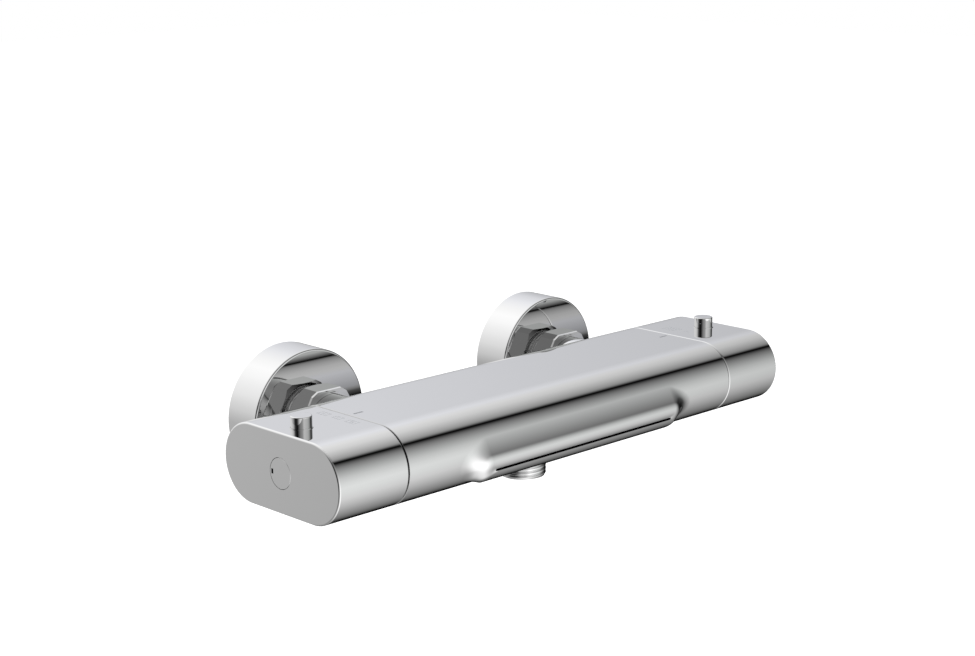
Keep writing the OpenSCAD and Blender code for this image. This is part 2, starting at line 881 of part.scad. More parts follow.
// Handle shell outward from the seam, with hub, stop lug, button well and screw seat
module handle_shell() {
    cover_at = handle_to - cover_thick;
    difference() {
        translate([handle_from, 0, 0]) rounded_bar(handle_length, end_round, handle_seam_round);
        difference() {
            plain_bar(handle_from - past, handle_from + pocket_depth, handle_wall);
            bar_x(hub_radius, handle_from + hub_start, handle_to);
            lug(half_turn, handle_from + handle_lug_from, handle_to);
        }
        for (s = [-1, 1]) translate([0, s * (arc_out + handle_wall / 2), 0])
            bar_x(lighten_radius, handle_from + pocket_depth - tiny, handle_from + lighten_end);
        bar_x(hub_bore, handle_from - past, handle_from + hub_bore_end);
        bar_x(screw_bore, handle_from, handle_to);
        bar_x(head_clear, cover_at - head_length - past, cover_at + past);
        bar_x(cover_radius, cover_at, handle_to + past);
        translate([button_x, 0, 0]) bar_z(bush_radius, well_floor, half_height + past);
    }
}

// Plain signs cut into the top of the flow handle: bath, closed and shower
module sign_box(x, y, long, wide, above) {
    translate([x - long / 2, y - wide / 2, half_height - mark_deep])
        cube([long, wide, mark_deep + above]);
}
module sign_frame(x, y, long, wide, above) {
    difference() {
        sign_box(x, y, long, wide, above);
        translate([0, 0, -past]) sign_box(x, y, long - 2 * sign_line, wide - 2 * sign_line,
            above + 2 * past);
    }
}
module flow_sign_cuts(above) {
    x = handle_from + sign_x;
    sign_frame(x, sign_pitch, sign_long, sign_wide, above);
    sign_box(x, sign_pitch, sign_line, sign_wide / 2, above);
    sign_frame(x, 0, sign_long - sign_line, sign_wide - 2 * sign_line, above);
    sign_box(x, 0, sign_dot, sign_line, above);
    sign_frame(x, -sign_pitch, sign_long, sign_wide, above);
    sign_box(x, -sign_pitch, sign_dot, sign_dot + sign_line, above);
}

// Figures three and eight with a degree ring, from straight strokes
module stroke(x, y, long, wide, above) {
    translate([x, y, half_height - mark_deep]) cube([long, wide, mark_deep + above]);
}
module digit(y, open_side, above) {
    x = handle_from + digit_x - digit_high / 2;
    for (k = [0, 1 / 2, 1]) stroke(x + k * (digit_high - digit_line), y, digit_line, digit_wide, above);
    stroke(x, y, digit_high, digit_line, above);
    if (!open_side) stroke(x, y + digit_wide - digit_line, digit_high, digit_line, above);
}
module temp_sign_cuts(above) {
    x = handle_from + digit_x - digit_high / 2;
    digit(digit_y + digit_step / 2 - digit_wide / 2, true, above);
    digit(digit_y - digit_step / 2 - digit_wide / 2, false, above);
    sign_frame(x + digit_high - degree_size / 2, digit_y - digit_step, degree_size, degree_size,
        above);
    stroke(x + digit_high / 2, -digit_wide, digit_line, digit_wide, above);
}

module flow_handle() {
    color(chrome) on_left() difference() {
        handle_shell();
        flow_sign_cuts(past);
    }
}
module temp_handle() {
    color(chrome) on_right() difference() {
        handle_shell();
        temp_sign_cuts(past);
    }
}
module flow_signs() { color(ink) on_left() flow_sign_cuts(0); }
module temp_signs() { color(ink) on_right() temp_sign_cuts(0); }

// Round cover past the handle screw, with a small prising notch towards the wall
module cover() {
    difference() {
        bar_x(cover_radius - cover_gap, handle_to - cover_thick, handle_to);
        translate([handle_to - cover_notch, cover_radius - cover_notch - cover_notch_rim,
            -cover_notch_high / 2]) cube([cover_notch + past, cover_notch, cover_notch_high]);
    }
}
module flow_cover() { color(chrome) on_left() cover(); }
module temp_cover() { color(chrome) on_right() cover(); }

// Socket screw that holds a handle on its spindle
module handle_screw() {
    seat = handle_to - cover_thick - head_length - past;
    difference() {
        union() {
            bar_x(head_radius, seat, seat + head_length);
            bar_x(screw_radius - run_gap, seat - screw_reach, seat + tiny);
        }
        translate([seat + head_length - hex_deep, 0, 0]) rotate([0, square_turn, 0])
            cylinder(r = hex_across, h = hex_deep + past, $fn = nut_sides);
    }
}
module flow_screw() { color(steel) on_left() handle_screw(); }
module temp_screw() { color(steel) on_right() handle_screw(); }

// Splined end of a spindle, from a chosen start
module spindle_shaft(from) {
    difference() {
        union() {
            bar_x(shaft_radius, from, handle_from + spline_end);
            bar_x(spline_root, handle_from + spline_start, handle_from + spline_end);
            for (i = [0 : spline_teeth - 1]) rotate([i * turn / spline_teeth, 0, 0])
                translate([handle_from + spline_start + tooth_inset, -spline_width / 2, tooth_foot])
                    cube([spline_end - spline_start - 2 * tooth_inset, spline_width,
                        spline_tip - tooth_foot]);
        }
        bar_x(tap_radius, handle_from + spline_end - tap_depth, handle_to);
    }
}

// Flow spindle with the carrier that turns the disc
module flow_spindle() {
    color(brass) on_left() {
        spindle_shaft(carrier_at + carrier_length - tiny);
        bar_x(carrier_radius, carrier_at, carrier_at + carrier_length);
    }
}

// Temperature spindle with thrust collar and drive thread
module temp_spindle() {
    color(brass) on_right() {
        spindle_shaft(spindle_collar);
        bar_x(spindle_collar_radius, spindle_collar, spindle_collar_end);
        bar_x(screw_thread, spindle_in, spindle_collar + tiny);
    }
}

// Thermostat housing with two ring channels and their windows
module thermo_housing() {
    color(light_plastic) on_right() difference() {
        bar_x(cartridge_radius, thermo_from, thermo_end);
        bar_x(thermo_inside, thermo_from + thermo_plate, thermo_end + past);
        translate([0, mixed_y - gallery_radius / 2, mixed_z])
            bar_x(thermo_outlet, 0, thermo_from + thermo_plate + past);
        for (p = [[hot_port_x, hot_groove], [cold_port_x, cold_groove]]) {
            tube_x(chamber_radius + past, groove_floor, p[0] - p[1] / 2, p[0] + p[1] / 2);
            for (i = [0 : window_count - 1]) rotate([i * turn / window_count, 0, 0])
                translate([p[0] - window_wide / 2, -window_high / 2, 0])
                    cube([window_wide, window_high, chamber_radius]);
        }
        for (x = ring_at) tube_x(chamber_radius + past, ring_seat, x - ring_wire, x + ring_wire);
    }
}

// Rubber rings round the thermostat housing
module thermo_rings() {
    color(rubber) on_right() for (x = ring_at)
        tube_x(chamber_radius, ring_seat, x - ring_wire, x + ring_wire);
}

// Filter sleeves past the two ring channels
module thermo_filters() {
    color(steel) on_right() for (x = [hot_port_x, cold_port_x]) difference() {
        tube_x(groove_floor + filter_wall, groove_floor, x - hot_groove / 2, x + hot_groove / 2);
        for (i = [0 : 2 * window_count - 1]) rotate([(i + 1 / 2) * turn / window_count / 2, 0, 0])
            bar_hole(x);
    }
}
module bar_hole(x) { translate([x, 0, 0]) bar_z(filter_pitch / 2, 0, chamber_radius); }

// Drive nut that the spindle screws inward and outward
module drive_nut() {
    color(brass) on_right() tube_x(drive_radius, drive_thread, drive_from, drive_to);
}

// Wax element with its wide head
module wax_element() {
    color(copper) on_right() {
        bar_x(element_radius, element_from, element_to - element_cap_long + tiny);
        bar_x(element_cap, element_to - element_cap_long, element_to);
    }
}

// Sliding spool that meters the hot and cold water
module mixing_spool() {
    web_from = (spool_from + spool_to - web_thick) / 2;
    color(light_plastic) on_right() {
        tube_x(thermo_inside - run_gap, spool_inside, spool_from, spool_to);
        difference() {
            bar_x(spool_inside + seat_gap, web_from, web_from + web_thick);
            bar_x(element_radius, web_from - past, web_from + web_thick + past);
            for (i = [0 : window_count - 1]) rotate([i * turn / window_count, 0, 0])
                translate([0, 0, (spool_inside + element_radius) / 2])
                    bar_x(filter_hole, web_from - past, web_from + web_thick + past);
        }
    }
}

// Return spring between the housing floor and the spool
module thermo_spring() {
    color(steel) on_right() translate([thermo_from + thermo_plate, 0, 0])
        rotate([0, square_turn, 0]) coil(thermo_coil_radius, thermo_wire,
            spool_from - thermo_from - thermo_plate, thermo_turns);
}

// Thin bush round a button, standing slightly proud
module bush() {
    translate([button_x, 0, 0]) difference() {
        bar_z(bush_radius, flange_top, half_height + bush_proud);
        bar_z(button_hole, 0, body_height);
    }
}
module flow_bush() { color(chrome) on_left() bush(); }
module temp_bush() { color(chrome) on_right() bush(); }

// Push button with a retaining flange and a rounded top edge
module button() {
    tall = half_height + button_height - flange_low;
    translate([button_x, 0, flange_low]) {
        rotate_extrude() right_half(tall)
            edge_section(button_radius, tall, button_round, seam_round);
        bar_z(flange_radius, 0, flange_thick);
    }
}
module flow_button() { color(chrome) on_left() button(); }
module temp_button() { color(chrome) on_right() button(); }

module button_coil() {
    translate([button_x, 0, well_floor]) coil(button_coil_radius, button_wire,
        flange_low - well_floor, button_turns);
}
module flow_button_spring() { color(steel) on_left() button_coil(); }
module temp_button_spring() { color(steel) on_right() button_coil(); }

body();
spout_insert();
index_marks();
gallery_plugs();
hose_nipple();
hose_ring();
tailpieces();
union_nuts();
union_washers();
inlet_filters();
wall_unions();
wall_cups();
cup_grip_rings();
cup_seals();
valve_bodies();
flow_base_seal();
flow_housing();
flow_fixed_disc();
flow_bonnet();
flow_shaft_ring();
flow_nut();
flow_stop();
thermo_housing();
thermo_rings();
thermo_filters();
thermo_nut();
temp_stop();
flow_handle();
flow_cover();
flow_screw();
flow_spindle();
flow_turning_disc();
flow_signs();
flow_bush();
flow_button();
flow_button_spring();
temp_handle();
temp_cover();
temp_screw();
temp_spindle();
temp_signs();
temp_bush();
temp_button();
temp_button_spring();
drive_nut();
wax_element();
mixing_spool();
thermo_spring();
hot_poppet();
cold_poppet();
hose_poppet();
hot_spring();
cold_spring();
hose_spring();
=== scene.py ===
"""Looks of a bath mixer tap: chromed casting, handles, wall covers and inner works."""

from __future__ import annotations

import logging
import math
from dataclasses import dataclass
from enum import Enum
from typing import Any, Iterable, Sequence

import bmesh
import bpy
import numpy as np
from mathutils import Matrix, Vector


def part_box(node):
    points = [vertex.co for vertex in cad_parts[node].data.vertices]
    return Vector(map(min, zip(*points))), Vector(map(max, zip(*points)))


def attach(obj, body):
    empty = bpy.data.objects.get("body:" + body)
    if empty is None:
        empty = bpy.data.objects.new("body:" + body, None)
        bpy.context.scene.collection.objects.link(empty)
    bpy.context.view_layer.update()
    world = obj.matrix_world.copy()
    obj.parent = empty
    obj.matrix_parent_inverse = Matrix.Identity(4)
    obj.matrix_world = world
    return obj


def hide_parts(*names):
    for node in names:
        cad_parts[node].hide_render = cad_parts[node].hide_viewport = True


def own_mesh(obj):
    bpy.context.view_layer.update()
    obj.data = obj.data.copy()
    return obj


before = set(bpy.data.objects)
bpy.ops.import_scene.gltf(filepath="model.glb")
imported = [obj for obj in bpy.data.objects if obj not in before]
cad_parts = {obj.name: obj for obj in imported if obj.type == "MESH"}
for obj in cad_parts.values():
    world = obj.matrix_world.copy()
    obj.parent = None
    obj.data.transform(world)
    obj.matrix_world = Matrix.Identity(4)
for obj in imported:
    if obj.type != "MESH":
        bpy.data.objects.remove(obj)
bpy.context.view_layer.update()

logging.basicConfig(level=logging.INFO, format="%(message)s")
log = logging.getLogger("bath_mixer")

MM = 0.001

# Shared sizes in millimetres: the casting's long axis in front of the wall, the two inlets, the
# outside radius of a half inch pipe thread, the small overlap that lets two shapes meet, and how
# far a cutter runs past what it cuts
AXIS_Y = -75.6
INLETS = (-75.0, 75.0)
HALF_INCH = 10.48
MEET = 0.01
PAST = 1.0

Point = tuple[float, float, float]
Section = Sequence[tuple[float, float]]
Piece = bpy.types.Object
Material = bpy.types.Material
Tree = bpy.types.NodeTree
Node = bpy.types.Node
Socket = bpy.types.NodeSocket
Sizes = dict[str, float | int]
Sockets = dict[str, Socket]
Finishes = dict[str, Material]


# Small helpers


def linear(colour: str) -> tuple[float, float, float, float]:
    """Turns an sRGB hex colour into linear RGBA.

    Args:
        colour: Six hex digits after a hash, such as "#C0FFEE".

    Returns:
        The linear red, green and blue, and an alpha of one.
    """
    parts = [int(colour[i:i + 2], 16) / 255 for i in (1, 3, 5)]
    lin = [c / 12.92 if c <= 0.04045 else ((c + 0.055) / 1.055) ** 2.4 for c in parts]
    return lin[0], lin[1], lin[2], 1.0


def add_node(tree: Tree, kind: str, inputs: dict[int | str, Any] | None = None,
             **settings: Any) -> Node:
    """Adds a node, sets its properties, and fills or links its inputs.

    Args:
        tree: The tree that gets the node.
        kind: The node's type name.
        inputs: Input socket by name or number, to a value, an output socket or a node, which
            stands for its first output.
        settings: Properties of the node by name.

    Returns:
        The new node.
    """
    node = tree.nodes.new(kind)
    for name, value in settings.items():
        setattr(node, name, value)
    for key, value in (inputs or {}).items():
        socket = node.inputs[key]
        value = value.outputs[0] if isinstance(value, Node) else value
        if isinstance(value, Socket):
            tree.links.new(value, socket)
        else:
            socket.default_value = value
    return node


# Finishes


@dataclass(frozen=True)
class Finish:
    """One surface finish as a Principled material; the plain class has a fine moulded grain."""

    name: str
    colour: str
    roughness: float
    metallic: float = 0.0
    # Size of the pattern and height of its grain, in millimetres
    pattern: float = 1.0
    height: float = 0.01
    # Share by which the colour and the roughness change over the pattern
    change: float = 0.08

    def build(self) -> Material:
        """Makes the material.

        Returns:
            The material with its shader linked.
        """
        material = bpy.data.materials.new(self.name)
        material.use_nodes = True
        tree = material.node_tree
        tree.nodes.clear()
        stain, grain = self.patterns(tree)
        base = linear(self.colour)
        darker = tuple(c * (1 - self.change) for c in base[:3]) + (1.0,)
        tone = add_node(tree, "ShaderNodeMix", {"Factor": stain, "A": base, "B": darker},
                        data_type="RGBA")
        rough = add_node(tree, "ShaderNodeMapRange", {
            "Value": stain, "From Min": 0.3, "From Max": 0.7,
            "To Min": self.roughness * (1 - 2 * self.change),
            "To Max": self.roughness * (1 + 2 * self.change)})
        shader = add_node(tree, "ShaderNodeBsdfPrincipled", {
            "Base Color": tone.outputs["Result"], "Metallic": self.metallic, "Roughness": rough})
        if grain:
            bump = add_node(tree, "ShaderNodeBump", {
                "Strength": 1.0, "Distance": self.height * MM, "Height": grain})
            tree.links.new(bump.outputs[0], shader.inputs["Normal"])
        add_node(tree, "ShaderNodeOutputMaterial", {"Surface": shader})
        return material

    def noise(self, tree: Tree, size: float, depth: float = 3.0,
              stretch: tuple[float, float, float] = (1, 1, 1)) -> Socket:
        """Adds a noise fixed to the piece.

        Args:
            tree: The material's tree.
            size: Size of its blotches in millimetres.
            depth: How many finer layers it has.
            stretch: How much it is squeezed along each direction.

        Returns:
            The noise's value.
        """
        place = add_node(tree, "ShaderNodeTexCoord")
        squeezed = add_node(tree, "ShaderNodeMapping", {
            "Vector": place.outputs["Object"], "Scale": stretch})
        noise = add_node(tree, "ShaderNodeTexNoise", {
            "Vector": squeezed, "Scale": 1 / (size * MM), "Detail": depth})
        return noise.outputs["Fac"]

    def patterns(self, tree: Tree) -> tuple[Socket, Socket | None]:
        """Adds the stain that colour and roughness follow, and the grain that is raised."""
        grain = self.noise(tree, self.pattern)
        return grain, grain


@dataclass(frozen=True)
class Plate(Finish):
    """Bright plate: a mirror whose sharpness drifts a little over broad polished patches."""

    def patterns(self, tree: Tree) -> tuple[Socket, Socket | None]:
        """Adds broad patches of polish."""
        return self.noise(tree, self.pattern, 2.0), None


@dataclass(frozen=True)
class Turned(Finish):
    """Metal cut on a lathe: close rings across the long axis, and a faint stain."""

    def patterns(self, tree: Tree) -> tuple[Socket, Socket | None]:
        """Adds the stain and the tool rings."""
        rings = self.noise(tree, self.pattern, 2.0, (1.0, 0.05, 0.05))
        return self.noise(tree, 12 * self.pattern, 4.0), rings


@dataclass(frozen=True)
class Fired(Finish):
    """Fired and lapped ceramic: fine specks under a smooth face."""

    def patterns(self, tree: Tree) -> tuple[Socket, Socket | None]:
        """Adds the specks."""
        return self.noise(tree, self.pattern, 6.0), None


# Chrome mirrors sharply and a little darker than its surroundings; brass, copper and steel are
# softer, with rings from the lathe; ceramic is a dense ivory with a low sheen; rubber is matt
# with a fine skin; the acetals have a moulded grain; the inks lie flat and dull on the plate.
FINISHES: dict[str, Finish] = {
    "chrome": Plate("bright_chrome_plate", "#CECECE", 0.02, 1.0, 30.0, 0.0, 0.012),
    "brass": Turned("turned_brass", "#D2AE69", 0.24, 1.0, 0.35, 0.006, 0.12),
    "copper": Turned("drawn_copper", "#C8805E", 0.26, 1.0, 0.3, 0.005, 0.14),
    "steel": Turned("drawn_stainless_steel", "#B7B5B0", 0.22, 1.0, 0.2, 0.004, 0.08),
    "ceramic": Fired("lapped_ceramic", "#ECE8DE", 0.3, 0.0, 0.25, 0.0, 0.06),
    "rubber": Finish("sealing_rubber", "#1D1D1E", 0.72, 0.0, 0.3, 0.012, 0.15),
    "black_plastic": Finish("black_acetal", "#222325", 0.42, 0.0, 0.35, 0.008, 0.1),
    "white_plastic": Finish("white_acetal", "#E6E5DF", 0.4, 0.0, 0.35, 0.008, 0.05),
    "ink": Finish("grey_index_ink", "#8B8D91", 0.55, 0.0, 0.12, 0.002, 0.1),
    "faint_ink": Finish("pale_sign_ink", "#B1B3B7", 0.55, 0.0, 0.12, 0.002, 0.06),
}


# Mesh tools


class Axis(Enum):
    """A direction that a turned shape runs along, with the two directions across it."""

    X = (0, 1, 2)
    Y = (1, 2, 0)
    Z = (2, 0, 1)


def link(name: str, data: bpy.types.ID) -> Piece:
    """Puts a mesh, a lamp or a camera in the scene.

    Args:
        name: The object's name.
        data: What it shows.

    Returns:
        The new object, at the origin.
    """
    piece = bpy.data.objects.new(name, data)
    bpy.context.scene.collection.objects.link(piece)
    return piece


def tidy_mesh(mesh: bpy.types.Mesh, crease: float = 30.0) -> None:
    """Merges doubled points, turns the faces outwards and shades all but sharp edges smooth.

    Args:
        mesh: The mesh to finish.
        crease: Edges that turn by more than this angle stay sharp.
    """
    work = bmesh.new()
    work.from_mesh(mesh)
    bmesh.ops.remove_doubles(work, verts=work.verts, dist=1e-7)
    bmesh.ops.recalc_face_normals(work, faces=work.faces)
    work.to_mesh(mesh)
    work.free()
    mesh.shade_smooth()
    mesh.set_sharp_from_angle(angle=math.radians(crease))


def from_points(points: np.ndarray, faces: Sequence[Sequence[int]],
                material: Material | None = None) -> Piece:
    """Makes a piece from points in millimetres.

    Args:
        points: One row for each point.
        faces: Point numbers of each face.
        material: The finish of the piece.

    Returns:
        The new piece.
    """
    mesh = bpy.data.meshes.new("piece")
    mesh.from_pydata((np.asarray(points, float) * MM).tolist(), [], faces)
    if material:
        mesh.materials.append(material)
    tidy_mesh(mesh)
    return link("piece", mesh)


def tube(rings: np.ndarray, material: Material | None = None) -> Piece:
    """Joins rings of points into a closed piece.

    Args:
        rings: Points in millimetres, by ring and by place around it.
        material: The finish of the piece.

    Returns:
        The new piece.
    """
    rows, steps = rings.shape[:2]
    faces = [(row + k, row + (k + 1) % steps, row + steps + (k + 1) % steps, row + steps + k)
             for row in range(0, (rows - 1) * steps, steps) for k in range(steps)]
    caps = [list(range(steps)), list(range(rows * steps - 1, (rows - 1) * steps - 1, -1))]
    return from_points(rings.reshape(-1, 3), faces + caps, material)


def turned(section: Section, axis: Axis, centre: Point, closed: bool = False,
           material: Material | None = None, steps: int = 96) -> Piece:
    """Turns a section of radius and place along an axis into a round piece.

    Args:
        section: Radius and place along the axis of each point, in millimetres.
        axis: The direction of the axis.
        centre: A point of the axis, from which places are measured.
        closed: Whether the section joins up with itself, as in a ring.
        material: The finish of the piece.
        steps: Number of faces around.

    Returns:
        The new piece.
    """
    along, one, two = axis.value
    points, rows = [], []
    for radius, place in section:
        row = []
        for k in range(steps if radius > 1e-9 else 1):
            turn = 2 * math.pi * k / steps
            point = list(centre)
            point[along] += place
            point[one] += radius * math.cos(turn)
            point[two] += radius * math.sin(turn)
            row.append(len(points))
            points.append(point)
        rows.append(row)
    faces = []
    for i in range(len(rows) if closed else len(rows) - 1):
        a, b = rows[i], rows[(i + 1) % len(rows)]
        for k in range(steps):
            k1 = (k + 1) % steps
            loop = [a[k % len(a)], a[k1 % len(a)], b[k1 % len(b)], b[k % len(b)]]
            loop = list(dict.fromkeys(loop))
            if len(loop) > 2:
                faces.append(loop)
    return from_points(np.array(points), faces, material)


def bar(radius: float, start: float, stop: float, axis: Axis, centre: Point,
        steps: int = 96) -> Piece:
    """Makes a plain round bar, for cutting or joining.

    Args:
        radius: Radius in millimetres.
        start: Where it starts along its axis.
        stop: Where it ends.
        axis: The direction of its axis.
        centre: A point of the axis, from which places are measured.
        steps: Number of faces around.

    Returns:
        The bar.
    """
    section = [(0, start), (radius, start), (radius, stop), (0, stop)]
    return turned(section, axis, centre, steps=steps)


def block(low: Point, high: Point, tilt: float = 0.0, about: Point = (0, 0, 0)) -> Piece:
    """Makes a plain block, for cutting.

    Args:
        low: Lowest corner in millimetres.
        high: Highest corner.
        tilt: Turn about the long axis of the tap, in degrees.
        about: The point that it turns about; the corners are measured from it.

    Returns:
        The block.
    """
    corners = np.array([(x, y, z) for x in (low[0], high[0]) for y in (low[1], high[1])
                        for z in (low[2], high[2])], float)
    c, s = math.cos(math.radians(tilt)), math.sin(math.radians(tilt))
    turned_y = corners[:, 1] * c - corners[:, 2] * s
    turned_z = corners[:, 1] * s + corners[:, 2] * c
    corners = np.stack([corners[:, 0], turned_y, turned_z], 1) + np.array(about)
    return from_points(corners, [(0, 1, 3, 2), (4, 6, 7, 5), (0, 4, 5, 1), (2, 3, 7, 6),
                                 (0, 2, 6, 4), (1, 5, 7, 3)])


def settle(piece: Piece, crease: float = 30.0) -> Piece:
    """Turns a piece and its modifiers into a plain mesh.

    Args:
        piece: The piece, with its modifiers.
        crease: Edges that turn by more than this angle stay sharp.

    Returns:
        The same piece.
    """
    bpy.context.view_layer.update()
    seen = piece.evaluated_get(bpy.context.evaluated_depsgraph_get())
    mesh = bpy.data.meshes.new_from_object(seen)
    piece.modifiers.clear()
    piece.data = mesh
    tidy_mesh(mesh, crease)
    return piece


class Change(Enum):
    """What another shape does to a piece."""

    CUT = "DIFFERENCE"
    JOIN = "UNION"
    TRIM = "INTERSECT"


def combine(piece: Piece, tools: Iterable[Piece], change: Change = Change.CUT,
            crease: float = 30.0) -> Piece:
    """Cuts, joins or trims a piece with other shapes, and removes them.

    Args:
        piece: The piece to change.
        tools: The shapes that change it, in order.
        change: What they do to it.
        crease: Edges that turn by more than this angle stay sharp.

    Returns:
        The same piece.
    """
    tools = list(tools)
    for tool in tools:
        step = piece.modifiers.new("step", "BOOLEAN")
        step.operation = change.value
        step.solver = "MANIFOLD"
        step.object = tool
    settle(piece, crease)
    for tool in tools:
        bpy.data.objects.remove(tool)
    return piece


def upright(along: Point, centre: Point) -> Matrix:
    """Finds the place of a piece that is made along Z.

    Args:
        along: The direction that its Z takes.
        centre: Where its origin goes, in millimetres.

    Returns:
        The place as a matrix.
    """
    turn = Vector(along).to_track_quat("Z", "Y").to_matrix().to_4x4()
    return Matrix.Translation(Vector(centre) * MM) @ turn


def show(piece: Piece, name: str, body: str, slot: str, *nodes: str) -> None:
    """Names a finished piece and lets it ride on a body in place of CAD nodes.

    Args:
        piece: The finished piece.
        name: Its name.
        body: The body that it moves with.
        slot: The record's material slot of its finish; not used.
        nodes: The CAD nodes that it stands for.
    """
    piece.name = name
    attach(piece, body)
    if nodes:
        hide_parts(*nodes)
    log.info("%s rides on %s", piece.name, body)


# Sub-assemblies


@dataclass
class SubAssembly:
    """Pieces that belong together, with their sizes and the finishes by slot name."""

    finishes: Finishes


# Casting


@dataclass
class Casting(SubAssembly):
    """Chromed casting: rounded section, spout lip with faded ends, inlet bosses and waterways."""

    half_length: float = 100.0
    half_height: float = 16.9
    # How far the arcs of front and rear lie from the long axis, and the rounding of the ends
    arc_out: float = 19.6
    edge: float = 0.05
    boss_radius: float = 13.0
    boss_reach: float = 41.8
    # Lip section: places in front of the arc centre and above the long axis
    bead: tuple[float, float, float] = (14.9, -4.2, 5.5)
    under: tuple[float, float, float] = (8.9, -2.9, 12.0)
    slot_turn: float = -22.2
    slot_half: float = 55.3
    slot_gap: float = 0.84
    slot_slope: float = 21.5
    slot_depth: float = 12.6
    # Height and depth of the pocket behind the slot, which holds the black insert
    pocket: tuple[float, float] = (3.0, 9.6)
    # The lip ends are turned about an upright line, and a hollow joins them to the casting
    turn_out: float = 31.5
    turn_half: float = 57.6
    lip_shift: float = 0.3
    scoop_radius: float = 32.0
    under_hollow: float = 8.0
    flattest: float = 300.0
    step_spread: float = 1.0
    step_end_spread: float = 14.0
    step_from: float = 54.2
    step_to: float = 61.0
    # How far the galleries lie behind and in front of the long axis, and the front one above it
    gallery_out: float = 24.0
    front_up: float = -2.0
    # Bores: radius, start and stop along an axis, and their place off the long axis
    bores: tuple[tuple[float, float, float, Axis, Point], ...] = (
        # Chambers of the flow and thermostat cartridges
        (12.5, -half_length - PAST, -50.0, Axis.X, (0, 0, 0)),
        (12.5, 38.0, half_length + PAST, Axis.X, (0, 0, 0)),
        # Mixed water to the flow cartridge, and from it to the hose
        (5.0, -50.0 - MEET, 38.0 + MEET, Axis.X, (0, 6.5, 3.0)),
        (5.0, -50.0 - MEET, 6.5, Axis.X, (0, -6.5, -3.0)),
        # Rear and front gallery, and a port of each
        (5.5, -half_length - PAST, 56.0, Axis.X, (0, gallery_out, 0)),
        (6.0, -half_length - PAST, 62.0, Axis.X, (0, -gallery_out, front_up)),
        (4.4, -gallery_out, -6.25, Axis.Y, (-64.0, 0, 0)),
        (4.4, 6.25, gallery_out, Axis.Y, (51.0, 0, 0)),
        # Hot and cold inlet, and the seats of their tails
        (5.6, gallery_out, 30.3 + MEET, Axis.Y, (-75.0, 0, 0)),
        (5.6, 6.25, 30.3 + MEET, Axis.Y, (75.0, 0, 0)),
        (9.4, 30.3, boss_reach + PAST, Axis.Y, (-75.0, 0, 0)),
        (9.4, 30.3, boss_reach + PAST, Axis.Y, (75.0, 0, 0)),
        # Seat of the hose nipple, and the way up from it
        (9.4, -half_height - PAST, -8.1, Axis.Z, (0, 0, 0)),
        (6.4, -16.9, -4.5, Axis.Z, (0, 0, 0)))
    # Rows of the skin off the middle, evenly spaced ones across the lip's ends, and the points of
    # a row in front and behind
    rows_near: tuple[float, ...] = (0, 15, 30, 42, 46)
    rows_even: tuple[float, float, float] = (46.5, 82.1, 0.5)
    rows_far: tuple[float, ...] = (88, 94, 99.5)
    row_points: tuple[int, int] = (241, 121)
    # The surface lies nearer than this to the arc centre, and is found by this many halvings
    search_to: float = 40.0
    halvings: int = 30
    # Index marks: their place along the tap, and their size along, across and deep
    mark_at: float = 95.4
    mark: tuple[float, float, float] = (5.0, 1.2, 0.15)

    def build(self) -> None:
        """Makes the casting."""
        piece = self.skin()
        combine(piece, [bar(self.boss_radius, self.arc_out, self.boss_reach, Axis.Y,
                            (x, AXIS_Y, 0), 128) for x in INLETS], Change.JOIN)
        combine(piece, self.waterways(), crease=25.0)
        show(piece, "casting", "tap", "chrome", "body")

    def joined(self, shape: tuple[float, float, float], hollow: float, place: np.ndarray,
               swing: np.ndarray, reach: np.ndarray, turn: np.ndarray) -> np.ndarray:
        """Measures how far points lie outside the casting and one round of the lip.

        Args:
            shape: The round's place and radius, measured from the arc centre.
            hollow: Radius of the ball that would roll along both and leave the hollow between.
            place: How far in front of the arc centre each point lies, swung to the lip section.
            swing: Share of the swung direction that still points straight ahead.
            reach: Distances of the points from the casting's arc centre line.
            turn: Their angles about it in radians.

        Returns:
            The distances, negative inside.
        """
        out, up, radius = shape
        ahead, above = place - out, reach * np.sin(turn) - up
        apart = np.maximum(np.hypot(ahead, above), 1e-6)
        # The casting is round around and straight along, so how round it is towards the lip
        # depends on the direction
        around = (above * np.cos(turn) - swing * ahead * np.sin(turn)) ** 2 + 1e-9
        along = np.maximum(1 - swing ** 2, 0) * ahead ** 2
        bend = around / (around + along)
        round_towards = self.half_height / np.maximum(bend, self.half_height / self.flattest)
        cosine = (swing * ahead * np.cos(turn) + above * np.sin(turn)) / apart
        far = reach - self.half_height + round_towards
        span = np.sqrt(np.maximum(far ** 2 + apart ** 2 - 2 * far * apart * cosine, 1e-6))
        body, lip = round_towards + hollow, radius + hollow
        point_x = (far ** 2 - apart ** 2 + span ** 2) / (2 * span)
        point_y = np.sqrt(np.maximum(far ** 2 - point_x ** 2, 0))
        ball_x = (body ** 2 - lip ** 2 + span ** 2) / (2 * span)
        ball_y = np.sqrt(np.maximum(body ** 2 - ball_x ** 2, 0))
        bare = np.minimum(reach - self.half_height, apart - radius)
        past_body = ball_x * point_y - ball_y * point_x
        past_lip = (ball_x - span) * point_y - ball_y * (point_x - span)
        between = (body > np.abs(ball_x)) & (past_body < 0) & (past_lip > 0) & (point_y < ball_y)
        return np.where(between, hollow - np.hypot(point_x - ball_x, point_y - ball_y), bare)

